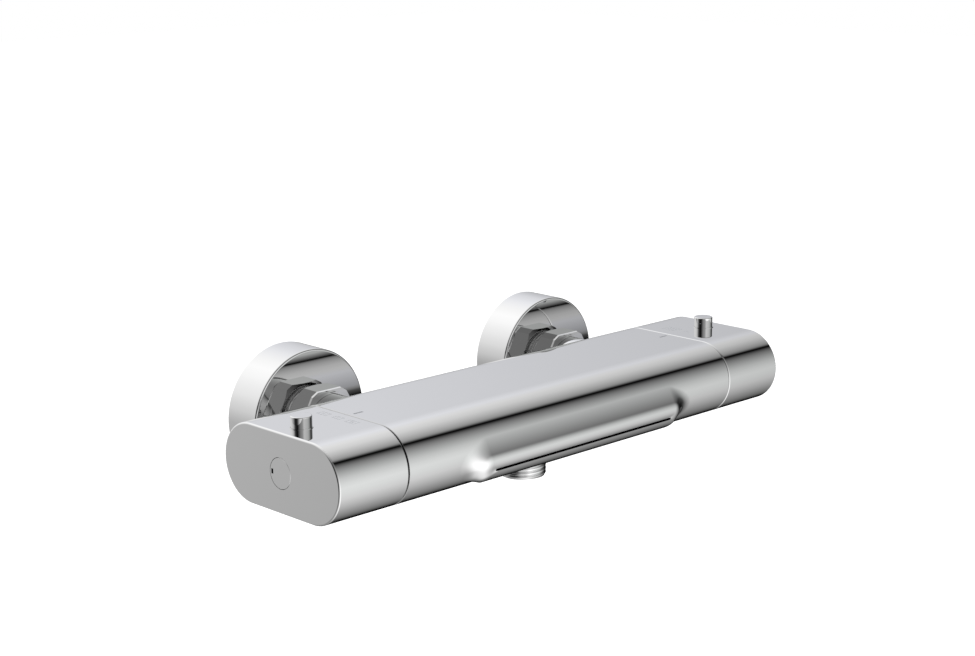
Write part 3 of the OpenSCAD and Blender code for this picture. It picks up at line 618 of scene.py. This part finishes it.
    def surface(self, along: np.ndarray, turn: np.ndarray) -> np.ndarray:
        """Finds the outer surface of casting and lip along rays from the arc centre.

        Args:
            along: Places along the tap in millimetres.
            turn: Angles of the rays in radians, up positive.

        Returns:
            Distances from the arc centre.
        """
        side = np.abs(along - self.lip_shift)
        past = np.maximum(side - self.turn_half, 0)
        fade = np.clip((side - self.step_from) / (self.step_to - self.step_from), 0, 1)
        spread = np.radians(self.step_spread + (self.step_end_spread - self.step_spread) * fade)
        low = np.full_like(along, self.half_height - MEET)
        high = np.full_like(along, self.search_to)
        for _ in range(self.halvings):
            reach = (low + high) / 2
            ahead = np.maximum(self.arc_out + reach * np.cos(turn) - self.turn_out, 1e-6)
            swung = np.where(past > 0, np.hypot(past, ahead), ahead)
            swing = ahead / swung
            place = self.turn_out + swung - self.arc_out
            upper = self.joined(self.bead, self.scoop_radius, place, swing, reach, turn)
            lower = self.joined(self.under, self.under_hollow, place, swing, reach, turn)
            t = np.arctan2(reach * np.sin(turn), place) - math.radians(self.slot_turn)
            t = np.clip((t + spread) / (2 * spread), 0, 1)
            inside = lower + (upper - lower) * t * t * (3 - 2 * t) < 0
            low, high = np.where(inside, reach, low), np.where(inside, high, reach)
        return (low + high) / 2

    def skin(self) -> Piece:
        """Makes the closed outer shape as one grid, around by along.

        Returns:
            The skin.
        """
        end, edge, (ahead_points, back_points) = self.half_length, self.edge, self.row_points
        side = [*self.rows_near, *np.arange(*self.rows_even), *self.rows_far]
        side += [end - 1.5 * edge, end - edge, end - 0.3 * edge, end]
        along = np.array([-x for x in side[:0:-1]] + side, float)
        inset = np.zeros_like(along)
        inset[[0, -1]], inset[[1, -2]] = edge, 0.3 * edge
        front = np.radians(np.linspace(90, -90, ahead_points))
        rear = np.radians(np.linspace(-90, -270, back_points))
        x, turn = np.meshgrid(along, front, indexing="ij")
        radius = self.surface(x, turn) - inset[:, None]
        ahead = self.arc_out + radius * np.cos(turn)
        up = radius * np.sin(turn)
        back_radius = (self.half_height - inset)[:, None]
        ahead = np.hstack([ahead, -self.arc_out + back_radius * np.cos(rear)])
        up = np.hstack([up, back_radius * np.sin(rear)])
        x = np.repeat(along[:, None], ahead.shape[1], 1)
        points = np.stack([x, AXIS_Y - ahead, up], -1)
        return tube(points, self.finishes["chrome"])

    def waterways(self) -> list[Piece]:
        """Makes the cutters for the chambers, drilled ways, holes, slot and index marks.

        Returns:
            The cutters.
        """
        tools = [bar(radius, start, stop, axis, (x, AXIS_Y + y, z))
                 for radius, start, stop, axis, (x, y, z) in self.bores]
        y, slot = AXIS_Y, self.slot_half
        mouth = (self.lip_shift, y - self.gallery_out, self.front_up)
        gap, (tall, deep) = self.slot_gap / 2, self.pocket
        tools.append(block((-slot, -self.slot_depth, -tall / 2),
                           (slot, deep - self.slot_depth, tall / 2), self.slot_slope, mouth))
        tools.append(block((-slot, -self.gallery_out, -gap), (slot, MEET - self.slot_depth, gap),
                           self.slot_slope, mouth))
        long, wide, deep = self.mark
        for x in (-self.mark_at, self.mark_at):
            tools.append(block((x - long / 2, y - wide / 2, self.half_height - deep),
                               (x + long / 2, y + wide / 2, self.half_height + PAST)))
        return tools


# Wall side


def arc(centre: tuple[float, float], radius: float, start: float, stop: float,
        steps: int) -> list[tuple[float, float]]:
    """Lists points of an arc of a section.

    Args:
        centre: Centre of the arc.
        radius: Its radius.
        start: First angle in degrees.
        stop: Last angle.
        steps: Number of steps.

    Returns:
        The points, both ends included.
    """
    return [(centre[0] + radius * math.cos(math.radians(start + (stop - start) * i / steps)),
             centre[1] + radius * math.sin(math.radians(start + (stop - start) * i / steps)))
            for i in range(steps + 1)]


@dataclass
class WallSide(SubAssembly):
    """Covers and union nuts of the two inlets."""

    cover_radius: float = 30.3
    cover_depth: float = 19.3
    cover_wall: float = 1.5
    cover_round: float = 0.9
    cover_hole: float = 13.47
    # Rounding of the edge around the hole, and how far the faces stay flat off each rounding
    hole_round: float = 0.15
    cover_relief: float = 0.3
    rim_break: float = 0.1
    nut_from: float = -33.65
    nut_collar: float = 0.95
    nut_collar_radius: float = 13.8
    nut_to: float = -22.05
    nut_flat: float = 14.85
    nut_corner_turn: float = 6.2
    # Length and depth of the taper at the front, and start and tilt of the crown at the rear
    nut_taper: tuple[float, float] = (0.8, 0.28)
    nut_crown: tuple[float, float] = (14.75, 42.0)
    nut_bore: float = 13.3
    tail_hole: float = 10.9
    # Where the wide bore ends in front and the hole for the tail meets it
    nut_floor: float = -31.45
    hole_to: float = -31.0

    def build(self) -> None:
        """Makes the covers and the nuts."""
        self.covers()
        self.nuts()

    def covers(self) -> None:
        """Makes the two pressed wall covers."""
        r, d, w = self.cover_radius, self.cover_depth, self.cover_wall
        q, lip, relief, rim = self.cover_round, self.hole_round, self.cover_relief, self.rim_break
        section = [(r - rim, 0.0), (r, -rim), (r, -d + q + relief)]
        section += arc((r - q, -d + q), q, 0, -90, 16)
        section += [(r - q - relief, -d), (self.cover_hole + 2 * lip, -d)]
        section += arc((self.cover_hole + lip, -d + lip), lip, -90, -180, 4)
        section += [(self.cover_hole, -d + w), (r - w - q, -d + w)]
        section += arc((r - w - q, -d + w + q), q, -90, 0, 8)
        section += [(r - w, 0.0)]
        covers = [turned(section, Axis.Y, (x, 0, 0), True, self.finishes["chrome"], 224)
                  for x in INLETS]
        piece = combine(covers[0], covers[1:], Change.JOIN)
        show(piece, "pressed_wall_covers", "tap", "chrome", "wall_cups")

    def nuts(self) -> None:
        """Makes the two union nuts with flattened corners and crowned ends."""
        start, stop = self.nut_from + self.nut_collar, self.nut_to
        reach = self.nut_flat / math.cos(math.radians(30 - self.nut_corner_turn))
        outline = [(reach, 60 * k + side * self.nut_corner_turn)
                   for k in range(6) for side in (-1, 1)]
        (length, depth), (rear, tilt) = self.nut_taper, self.nut_crown
        wide = reach + PAST
        levels = [(start, 1 - depth / self.nut_flat), (start + length, 1.0), (stop + PAST, 1.0)]
        fall = (wide - rear) * math.tan(math.radians(tilt))
        crown = [(0, start - PAST), (wide, start - PAST), (wide, stop - fall), (rear, stop),
                 (0, stop)]
        made = []
        for x in INLETS:
            centre = (x, 0.0, 0.0)
            nut = self.prism(outline, levels, centre)
            combine(nut, [turned(crown, Axis.Y, centre, steps=192)], Change.TRIM)
            combine(nut, [bar(self.nut_collar_radius, self.nut_from, start + MEET, Axis.Y, centre,
                              192)], Change.JOIN)
            combine(nut, [bar(self.nut_bore, self.nut_floor, stop + PAST, Axis.Y, centre, 128),
                          bar(self.tail_hole, self.nut_from - PAST, self.hole_to, Axis.Y, centre,
                              128)], crease=10.0)
            nut.data.materials.clear()
            nut.data.materials.append(self.finishes["chrome"])
            made.append(nut)
        piece = combine(made[0], made[1:], Change.JOIN, 10.0)
        show(piece, "chromed_union_nuts", "tap", "chrome", "union_nuts")

    @staticmethod
    def prism(outline: Sequence[tuple[float, float]], levels: Sequence[tuple[float, float]],
              centre: Point) -> Piece:
        """Makes a bar along Y from the corners of its section.

        Args:
            outline: Radius and angle in degrees of each corner, in order.
            levels: Place along Y and size of each section along the bar, in order.
            centre: A point of its axis.

        Returns:
            The bar.
        """
        ring = [(r * math.cos(math.radians(a)), r * math.sin(math.radians(a))) for r, a in outline]
        rings = [[(centre[0] + size * x, y, centre[2] + size * z) for x, z in ring]
                 for y, size in levels]
        return tube(np.array(rings))


# Threads and springs


class Grown:
    """A piece that a Geometry Nodes tree makes from its named sizes."""

    # Edges that turn by more than this angle stay sharp
    crease = 60.0

    def sizes(self) -> Sizes:
        """Lists the tree's named inputs, lengths in metres and counts as whole numbers."""
        raise NotImplementedError

    def nodes(self, tree: Tree, size: Sockets) -> Node:
        """Adds the nodes between the inputs and the shape, and returns the last one."""
        raise NotImplementedError

    def build(self, material: Material, places: Sequence[Matrix]) -> Piece:
        """Makes the piece, once for each place, as one plain mesh.

        Args:
            material: The finish, set at the end of the tree.
            places: Where each copy goes; it starts at the origin and runs along Z.

        Returns:
            The piece.
        """
        tree = bpy.data.node_groups.new(type(self).__name__, "GeometryNodeTree")
        tree.is_modifier = True
        tree.interface.new_socket("Geometry", in_out="OUTPUT",
                                  socket_type="NodeSocketGeometry")
        sizes, ids = self.sizes(), {}
        for label, value in sizes.items():
            kind = "NodeSocketInt" if isinstance(value, int) else "NodeSocketFloat"
            ids[label] = tree.interface.new_socket(label, in_out="INPUT",
                                                   socket_type=kind).identifier
        enter = add_node(tree, "NodeGroupInput")
        shape = self.nodes(tree, {label: enter.outputs[label] for label in sizes})
        real = add_node(tree, "GeometryNodeRealizeInstances", {"Geometry": shape})
        dressed = add_node(tree, "GeometryNodeSetMaterial", {
            "Geometry": real, "Material": material})
        leave = add_node(tree, "NodeGroupOutput")
        tree.links.new(dressed.outputs[0], leave.inputs[0])
        piece = link("piece", bpy.data.meshes.new("piece"))
        step = piece.modifiers.new("grow", "NODES")
        step.node_group = tree
        for label, value in sizes.items():
            step[ids[label]] = value
        settle(piece, self.crease)
        work = bmesh.new()
        for place in places:
            copy = piece.data.copy()
            copy.transform(place)
            work.from_mesh(copy)
            bpy.data.meshes.remove(copy)
        work.to_mesh(piece.data)
        work.free()
        tidy_mesh(piece.data, self.crease)
        return piece


@dataclass
class PipeThread(Grown):
    """Pipe thread about Z, as a round bar whose skin follows the helix."""

    crease = 80.0

    radius: float
    length: float
    pitch: float = 1.814
    depth: float = 0.62
    run_out: float = 1.2
    flank_share: float = 0.35
    around: int = 120
    step: float = 0.1

    def sizes(self) -> Sizes:
        """Lists the tree's named inputs."""
        return {"Radius": self.radius * MM, "Length": self.length * MM,
                "Half": self.length / 2 * MM, "Full depth": (self.length / 2 - self.run_out) * MM,
                "Pitch": self.pitch * MM, "Root": 1 - self.depth / self.radius,
                "Flank": self.flank_share, "Around": self.around,
                "Rows": round(self.length / self.step)}

    def nodes(self, tree: Tree, size: Sockets) -> Node:
        """Adds the nodes that press a helical groove into a bar.

        Args:
            tree: The tree.
            size: Its named inputs.

        Returns:
            The node that gives the threaded bar.
        """
        round_bar = add_node(tree, "GeometryNodeMeshCylinder", {
            "Vertices": size["Around"], "Side Segments": size["Rows"],
            "Radius": size["Radius"], "Depth": size["Length"]})
        place = add_node(tree, "GeometryNodeInputPosition")
        split = add_node(tree, "ShaderNodeSeparateXYZ", {0: place}).outputs
        angle = add_node(tree, "ShaderNodeMath", {0: split["Y"], 1: split["X"]},
                         operation="ARCTAN2")
        turn = add_node(tree, "ShaderNodeMath", {0: angle, 1: 2 * math.pi}, operation="DIVIDE")
        climb = add_node(tree, "ShaderNodeMath", {0: split["Z"], 1: size["Pitch"]},
                         operation="DIVIDE")
        phase = add_node(tree, "ShaderNodeMath", {0: climb, 1: turn}, operation="SUBTRACT")
        wave = add_node(tree, "ShaderNodeMath", {0: phase, 1: 0.5}, operation="PINGPONG")
        crest = add_node(tree, "ShaderNodeMapRange", {"Value": wave, "From Max": size["Flank"]},
                         interpolation_type="SMOOTHSTEP")
        away = add_node(tree, "ShaderNodeMath", {0: split["Z"]}, operation="ABSOLUTE")
        fade = add_node(tree, "ShaderNodeMapRange", {
            "Value": away, "From Min": size["Full depth"], "From Max": size["Half"],
            "To Min": 1.0, "To Max": 0.0})
        proud = add_node(tree, "ShaderNodeMath", {0: crest, 1: fade}, operation="MULTIPLY")
        share = add_node(tree, "ShaderNodeMapRange", {
            "Value": proud, "To Min": size["Root"], "To Max": 1.0})
        inwards = add_node(tree, "ShaderNodeCombineXYZ", {"X": share, "Y": share, "Z": 1.0})
        moved = add_node(tree, "ShaderNodeVectorMath", {0: place, 1: inwards},
                         operation="MULTIPLY")
        lift = add_node(tree, "ShaderNodeCombineXYZ", {"Z": size["Half"]})
        return add_node(tree, "GeometryNodeSetPosition", {
            "Geometry": round_bar.outputs["Mesh"], "Position": moved, "Offset": lift})


@dataclass
class CoilSpring(Grown):
    """Compression spring about Z with a closed ring at each end."""

    radius: float
    wire: float
    height: float
    turns: int

    def sizes(self) -> Sizes:
        """Lists the tree's named inputs; the first turn and the last one lie flat."""
        turns = self.turns + 2
        return {"Radius": self.radius * MM, "Wire": self.wire * MM,
                "Top": (self.height - self.wire) * MM, "Turns": float(turns),
                "First turn": 1 / turns, "Last turn": 1 - 1 / turns, "Steps": 48, "Sides": 12}

    def nodes(self, tree: Tree, size: Sockets) -> Node:
        """Adds the nodes that wind the wire.

        Args:
            tree: The tree.
            size: Its named inputs.

        Returns:
            The node that gives the wound wire.
        """
        line = add_node(tree, "GeometryNodeCurveSpiral", {
            "Resolution": size["Steps"], "Rotations": size["Turns"],
            "Start Radius": size["Radius"], "End Radius": size["Radius"], "Height": 0.0})
        along = add_node(tree, "GeometryNodeSplineParameter")
        rise = add_node(tree, "ShaderNodeMapRange", {
            "Value": along.outputs["Factor"], "From Min": size["First turn"],
            "From Max": size["Last turn"], "To Min": size["Wire"], "To Max": size["Top"]})
        lift = add_node(tree, "ShaderNodeCombineXYZ", {"Z": rise})
        wound = add_node(tree, "GeometryNodeSetPosition", {
            "Geometry": line.outputs["Curve"], "Offset": lift})
        section = add_node(tree, "GeometryNodeCurvePrimitiveCircle", {
            "Resolution": size["Sides"], "Radius": size["Wire"]})
        return add_node(tree, "GeometryNodeCurveToMesh", {
            "Curve": wound, "Profile Curve": section.outputs["Curve"],
            "Fill Caps": True})


# Small pieces


@dataclass
class SmallPieces(SubAssembly):
    """End covers, threaded unions and nipple."""

    cover_radius: float = 6.54
    cover_from: float = 134.1
    cover_to: float = 136.3
    cover_rim: float = 0.32
    # Notch of the cover: where it starts and ends off the middle, half its width, its depth
    notch: tuple[float, float, float, float] = (4.5, 5.7, 1.05, 1.4)
    # Nipple, from its lower end to its seat: thread, plain neck with a groove for the seal ring
    hose_low: float = -30.1
    thread_top: float = -16.28
    neck_low: float = -17.9
    neck_top: float = -8.1
    neck_radius: float = 9.4
    neck_break: float = 0.2
    # Sides of the groove and of its floor, and the floor's radius
    groove: tuple[float, float, float, float] = (-14.5, -14.2, -13.6, -13.3)
    groove_radius: float = 8.8
    # Valve seat and hose bore of the nipple: radius, and the valve seat's floor
    valve_seat: tuple[float, float] = (6.45, -22.1)
    hose_bore: float = 5.4
    # Unions: bore, front thread (radius, start, length), rear thread (start, length), neck
    union_bore: float = 7.5
    front_thread: tuple[float, float, float] = (13.22, -27.05, 11.75)
    rear_thread: tuple[float, float] = (-3.0, 17.0)
    union_neck: tuple[float, float, float] = (11.6, -15.31, -2.9)

    def build(self) -> None:
        """Makes the pieces."""
        self.end_cover(-1, "flow")
        self.end_cover(1, "temp")
        self.nipple()
        self.unions()

    def end_cover(self, side: int, name: str) -> None:
        """Makes the round cover in the end of a handle, with its dark notch.

        Args:
            side: -1 for the left handle, 1 for the right one.
            name: The handle's name.
        """
        r, rim = self.cover_radius, self.cover_rim
        section = [(0, side * self.cover_from), (r, side * self.cover_from),
                   (r, side * (self.cover_to - rim)), (r - 0.6 * rim, side * self.cover_to),
                   (r - 2 * rim, side * self.cover_to), (0, side * self.cover_to)]
        piece = turned(section, Axis.X, (0, AXIS_Y, 0), material=self.finishes["chrome"],
                       steps=144)
        near, far, half, deep = self.notch
        low, high = sorted((side * (self.cover_to - deep), side * (self.cover_to + PAST)))
        combine(piece, [block((low, AXIS_Y + near, -half), (high, AXIS_Y + far, half))])
        piece.data.materials.append(self.finishes["black_plastic"])
        for face in piece.data.polygons:
            at = face.center / MM
            deep_enough = self.cover_to - deep - MEET < abs(at.x) < self.cover_to - MEET
            along_notch = near - MEET < at.y - AXIS_Y < far + MEET
            if deep_enough and along_notch and abs(at.z) < half + MEET:
                face.material_index = len(piece.data.materials) - 1
        show(piece, f"{name}_end_cover", f"{name}_handle", "chrome", f"{name}_cover")

    def nipple(self) -> None:
        """Makes the hose nipple with its thread and its seal groove."""
        low, neck, top = self.hose_low, self.neck_radius, self.neck_top
        side_low, floor_low, floor_top, side_top = self.groove
        seat, seat_floor = self.valve_seat
        thread = PipeThread(HALF_INCH, self.thread_top - low)
        piece = thread.build(self.finishes["chrome"], [upright((0, 0, 1), (0, AXIS_Y, low))])
        section = [(0, self.neck_low), (neck, self.neck_low), (neck, side_low),
                   (self.groove_radius, floor_low), (self.groove_radius, floor_top),
                   (neck, side_top), (neck, top - self.neck_break), (neck - self.neck_break, top),
                   (0, top)]
        centre = (0, AXIS_Y, 0)
        combine(piece, [turned(section, Axis.Z, centre)], Change.JOIN, 80.0)
        combine(piece, [bar(seat, seat_floor, top + PAST, Axis.Z, centre),
                        bar(self.hose_bore, low - PAST, seat_floor + MEET, Axis.Z, centre)],
                crease=50.0)
        show(piece, "threaded_hose_nipple", "tap", "chrome", "hose_nipple")

    def unions(self) -> None:
        """Makes the two wall unions with a thread at each end."""
        chrome = self.finishes["chrome"]
        wide, front_from, front_long = self.front_thread
        rear_from, rear_long = self.rear_thread
        neck, neck_from, neck_to = self.union_neck
        front = PipeThread(wide, front_long).build(chrome, [
            upright((0, 1, 0), (x, front_from, 0)) for x in INLETS])
        rear = PipeThread(HALF_INCH, rear_long).build(chrome, [
            upright((0, 1, 0), (x, rear_from, 0)) for x in INLETS])
        necks = [bar(neck, neck_from, neck_to, Axis.Y, (x, 0, 0)) for x in INLETS]
        combine(front, necks + [rear], Change.JOIN, 80.0)
        combine(front, [bar(self.union_bore, front_from - PAST, rear_from + rear_long + PAST,
                            Axis.Y, (x, 0, 0)) for x in INLETS], crease=50.0)
        show(front, "threaded_wall_unions", "tap", "chrome", "wall_unions")


@dataclass
class Springs(SubAssembly):
    """Springs of the one-way valves and buttons, wound to the size of their solids."""

    # Radius of the coil, radius of the wire, count of free turns and travel of the moving end
    valve: tuple[float, float, int, float] = (2.5, 0.35, 5, 2.5)
    button: tuple[float, float, int, float] = (3.4, 0.28, 4, 2.4)

    def build(self) -> None:
        """Makes the springs."""
        for name, run in (("hot", (0, 1, 0)), ("cold", (0, 1, 0)), ("hose", (0, 0, 1))):
            self.wind(f"{name}_spring", "tap", f"{name}_valve", run, self.valve)
        for name in ("flow", "temp"):
            self.wind(f"{name}_button_spring", f"{name}_handle", f"{name}_press", (0, 0, 1),
                      self.button)

    def wind(self, node: str, body: str, joint: str, run: Point,
             shape: tuple[float, float, int, float]) -> None:
        """Makes one spring where its solid is.

        Args:
            node: The CAD node it stands for.
            body: The body that its seat belongs to.
            joint: The joint at its moving end; not used.
            run: Direction from the seat to the moving end.
            shape: Radius of the coil, radius of the wire, count of turns, and travel.
        """
        low, high = (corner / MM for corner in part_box(node))
        height = (high - low).dot(Vector(run))
        seat = (low + high) / 2 - Vector(run) * height / 2
        radius, wire, turns, travel = shape
        spring = CoilSpring(radius, wire, height, turns)
        piece = spring.build(self.finishes["steel"], [upright(run, seat)])
        show(piece, f"wound_{node}", body, "steel", node)
        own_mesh(piece)


# Studio


@dataclass(frozen=True)
class Stop:
    """One stop of a studio gradient: its place and its brightness."""

    place: float
    level: float
    tint: tuple[float, float, float] = (1.0, 1.0, 1.0)


WHITE = (1.0, 1.0, 1.0, 1.0)
COOL = (0.98, 0.99, 1.035)
MILD = (0.982, 1.0, 0.992)


@dataclass
class Studio:
    """Camera, soft lamps, white floor and the panels that bright metal mirrors."""

    place: tuple[float, float, float] = (-0.5796, -0.6487, 0.2252)
    azimuth: float = -44.2405
    elevation: float = 13.018
    roll: float = -0.253
    lens: float = 70.18
    floor_z: float = -0.35
    floor_half: float = 6.0
    floor_tone: float = 0.6
    floor_glow: float = 0.8
    panel_strength: float = 1.295
    soft_strength: float = 0.55
    # Lamps: place, diameter and power
    lamp_list: tuple[tuple[Point, float, float], ...] = (
        ((-0.9, -1.2, 1.4), 1.2, 14.0), ((1.4, -0.9, 0.9), 1.2, 8.0), ((0.2, 1.3, 1.1), 1.0, 7.0))

    # Panels by their angle about the long axis of the tap: 0 behind it, a quarter up, half in
    # front; one row for the right of the room, one for its middle and one for the left
    right: tuple[Stop, ...] = (
        Stop(0, 0.54, COOL), Stop(20, 0.70, COOL), Stop(50, 0.90, COOL), Stop(65, 0.87),
        Stop(81, 0.77), Stop(97, 0.575), Stop(109, 0.395), Stop(113.5, 0.27), Stop(117.3, 0.07),
        Stop(119.5, 0.008), Stop(122, 0.0), Stop(124.5, 0.03), Stop(129, 0.12), Stop(136, 0.24),
        Stop(150, 0.45, MILD), Stop(166, 0.68, MILD), Stop(180, 0.82, MILD),
        Stop(192, 0.89, MILD), Stop(206, 0.85, MILD), Stop(222, 0.76), Stop(240, 0.59),
        Stop(263, 0.37), Stop(290, 0.16), Stop(304, 0.03), Stop(312, 0.0), Stop(330, 0.01),
        Stop(345, 0.12), Stop(352, 0.35), Stop(360, 0.54, COOL))
    middle: tuple[Stop, ...] = (
        Stop(135, 0.2), Stop(150, 0.36), Stop(165, 0.62), Stop(178, 0.86), Stop(190, 0.97),
        Stop(205, 1.02), Stop(225, 1.0), Stop(244, 0.88), Stop(264, 0.6), Stop(285, 0.25),
        Stop(305, 0.16))
    left: tuple[Stop, ...] = (
        Stop(135, 0.18), Stop(150, 0.25), Stop(165, 0.36), Stop(178, 0.52), Stop(190, 0.66),
        Stop(205, 0.7), Stop(222, 0.66), Stop(242, 0.52), Stop(270, 0.34), Stop(300, 0.26))
    # The middle and the left are alike above and below the tap
    above: tuple[Stop, ...] = (
        Stop(0, 0.68), Stop(20, 0.83), Stop(45, 0.88), Stop(65, 0.78), Stop(90, 0.50),
        Stop(105, 0.30), Stop(120, 0.08))
    below: tuple[Stop, ...] = (Stop(325, 0.37), Stop(342, 0.45), Stop(360, 0.68))
    # Where along the room one row of panels gives way to the next
    to_middle: tuple[float, float] = (-0.5, -0.15)
    to_right: tuple[float, float] = (0.05, 0.55)
    # Strength of the panels along the tap, from left to right
    along: tuple[Stop, ...] = (
        Stop(-1.0, 0.03), Stop(-0.94, 0.06), Stop(-0.86, 0.5), Stop(-0.74, 1.0),
        Stop(-0.55, 1.2), Stop(-0.3, 1.35), Stop(-0.1, 1.4), Stop(0.16, 1.28),
        Stop(0.39, 1.18), Stop(0.62, 1.03), Stop(0.76, 0.81), Stop(0.87, 0.54),
        Stop(0.93, 0.32), Stop(0.97, 0.1), Stop(1.0, 0.03))

    def build(self) -> None:
        """Sets the camera, the world, the lamps and the floor."""
        self.camera()
        self.world()
        self.lamps()
        self.floor()
        bpy.context.scene.view_settings.view_transform = "Standard"

    def camera(self) -> None:
        """Puts the camera where the photograph was taken from."""
        turns = ((self.azimuth, "Z"), (90 - self.elevation, "X"), (self.roll, "Z"))
        around, down, roll = (Matrix.Rotation(math.radians(a), 4, axis) for a, axis in turns)
        data = bpy.data.cameras.new("camera")
        data.lens = self.lens
        data.sensor_width = 36.0
        data.clip_start = 0.05
        data.clip_end = 50.0
        eye = link("camera", data)
        eye.matrix_world = Matrix.Translation(self.place) @ around @ down @ roll
        bpy.context.scene.camera = eye

    @staticmethod
    def ramp(tree: Tree, stops: Sequence[Stop], low: float, high: float,
             value: Node | Socket) -> Socket:
        """Adds a colour ramp over a range of values.

        Args:
            tree: The tree that gets the nodes.
            stops: The ramp's stops, in order.
            low: The value at the ramp's start.
            high: The value at the ramp's end.
            value: What drives the ramp.

        Returns:
            The ramp's colour output.
        """
        spread = add_node(tree, "ShaderNodeMapRange", {
            "Value": value, "From Min": low, "From Max": high})
        ramp = add_node(tree, "ShaderNodeValToRGB", {"Fac": spread})
        band = ramp.color_ramp
        band.interpolation = "LINEAR"
        while len(band.elements) > 1:
            band.elements.remove(band.elements[-1])
        for i, stop in enumerate(stops):
            at = (stop.place - low) / (high - low)
            element = band.elements[0] if i == 0 else band.elements.new(at)
            element.position = at
            element.color = tuple(stop.level * t for t in stop.tint) + (1.0,)
        return ramp.outputs["Color"]

    def world(self) -> None:
        """White for the camera, even for matt surfaces, and panels for bright metal."""
        world = bpy.data.worlds.new("studio")
        bpy.context.scene.world = world
        world.use_nodes = True
        world.cycles.sampling_method = "NONE"
        tree = world.node_tree
        tree.nodes.clear()
        way = add_node(tree, "ShaderNodeTexCoord")
        split = add_node(tree, "ShaderNodeSeparateXYZ", {0: way.outputs["Generated"]}).outputs
        turn = add_node(tree, "ShaderNodeMath", {0: split["Z"], 1: split["Y"]},
                        operation="ARCTAN2")
        later = add_node(tree, "ShaderNodeMath", {0: turn, 1: 2 * math.pi}, operation="ADD")
        whole = add_node(tree, "ShaderNodeMath", {0: later, 1: 2 * math.pi}, operation="MODULO")
        degrees = add_node(tree, "ShaderNodeMath", {0: whole}, operation="DEGREES")
        right = self.ramp(tree, self.right, 0, 360, degrees)
        middle, around = (self.ramp(tree, self.above + row + self.below, 0, 360, degrees)
                          for row in (self.middle, self.left))
        for row, (start, stop) in ((middle, self.to_middle), (right, self.to_right)):
            share = add_node(tree, "ShaderNodeMapRange", {
                "Value": split["X"], "From Min": start, "From Max": stop},
                interpolation_type="SMOOTHSTEP")
            around = add_node(tree, "ShaderNodeMix", {"Factor": share, "A": around, "B": row},
                              data_type="RGBA").outputs["Result"]
        along = self.ramp(tree, self.along, -1, 1, split["X"])
        panels = add_node(tree, "ShaderNodeMix", {"Factor": 1.0, "A": around, "B": along},
                          data_type="RGBA", blend_type="MULTIPLY")
        path = add_node(tree, "ShaderNodeLightPath")
        mirror = add_node(tree, "ShaderNodeBackground", {
            "Color": panels.outputs["Result"], "Strength": self.panel_strength})
        soft, white = (add_node(tree, "ShaderNodeBackground", {
            "Color": WHITE, "Strength": strength}) for strength in (self.soft_strength, 1.0))
        first = add_node(tree, "ShaderNodeMixShader", {
            0: path.outputs["Is Glossy Ray"], 1: soft, 2: mirror})
        second = add_node(tree, "ShaderNodeMixShader", {
            0: path.outputs["Is Camera Ray"], 1: first, 2: white})
        add_node(tree, "ShaderNodeOutputWorld", {"Surface": second})

    def lamps(self) -> None:
        """Large soft lamps, which bright metal doesn't mirror."""
        for place, size, power in self.lamp_list:
            data = bpy.data.lights.new("soft_lamp", "AREA")
            data.shape = "DISK"
            data.size = size
            data.energy = power
            lamp = link("soft_lamp", data)
            lamp.location = place
            lamp.rotation_euler = (-Vector(place)).to_track_quat("-Z", "Y").to_euler()
            lamp.visible_glossy = False

    def floor(self) -> None:
        """Floor far below the tap, white for the camera."""
        h, z = self.floor_half, self.floor_z
        data = bpy.data.meshes.new("floor")
        data.from_pydata([(-h, -h, z), (h, -h, z), (h, h, z), (-h, h, z)], [], [(0, 1, 2, 3)])
        floor = link("floor", data)
        material = bpy.data.materials.new("pale_floor")
        material.use_nodes = True
        tree = material.node_tree
        tree.nodes.clear()
        path = add_node(tree, "ShaderNodeLightPath")
        matt = add_node(tree, "ShaderNodeBsdfDiffuse", {
            "Color": (self.floor_tone, self.floor_tone, self.floor_tone, 1)})
        share = add_node(tree, "ShaderNodeMath", {
            0: path.outputs["Is Camera Ray"], 1: self.floor_glow}, operation="MULTIPLY")
        glow = add_node(tree, "ShaderNodeEmission", {"Color": WHITE, "Strength": share})
        both = add_node(tree, "ShaderNodeAddShader", {0: matt, 1: glow})
        add_node(tree, "ShaderNodeOutputMaterial", {"Surface": both})
        data.materials.append(material)
        floor.visible_glossy = False


# The scene


def dress_solids(finishes: Finishes) -> None:
    """Gives each CAD solid the finish of its material slot.

    Args:
        finishes: The finishes by slot name.
    """
    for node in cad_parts.values():
        for slot in node.material_slots:
            name = slot.material.name.split(".")[0] if slot.material else ""
            name = "faint_ink" if node.name.endswith("_signs") else name
            if name in finishes:
                slot.material = finishes[name]
            else:
                log.info("no finish for %s on %s", name, node.name)


def main() -> None:
    """Builds the finishes, the pieces and the studio, in order."""
    Studio().build()
    finishes = {slot: finish.build() for slot, finish in FINISHES.items()}
    dress_solids(finishes)
    Casting(finishes).build()
    WallSide(finishes).build()
    SmallPieces(finishes).build()
    Springs(finishes).build()


if __name__ == "__main__":
    main()
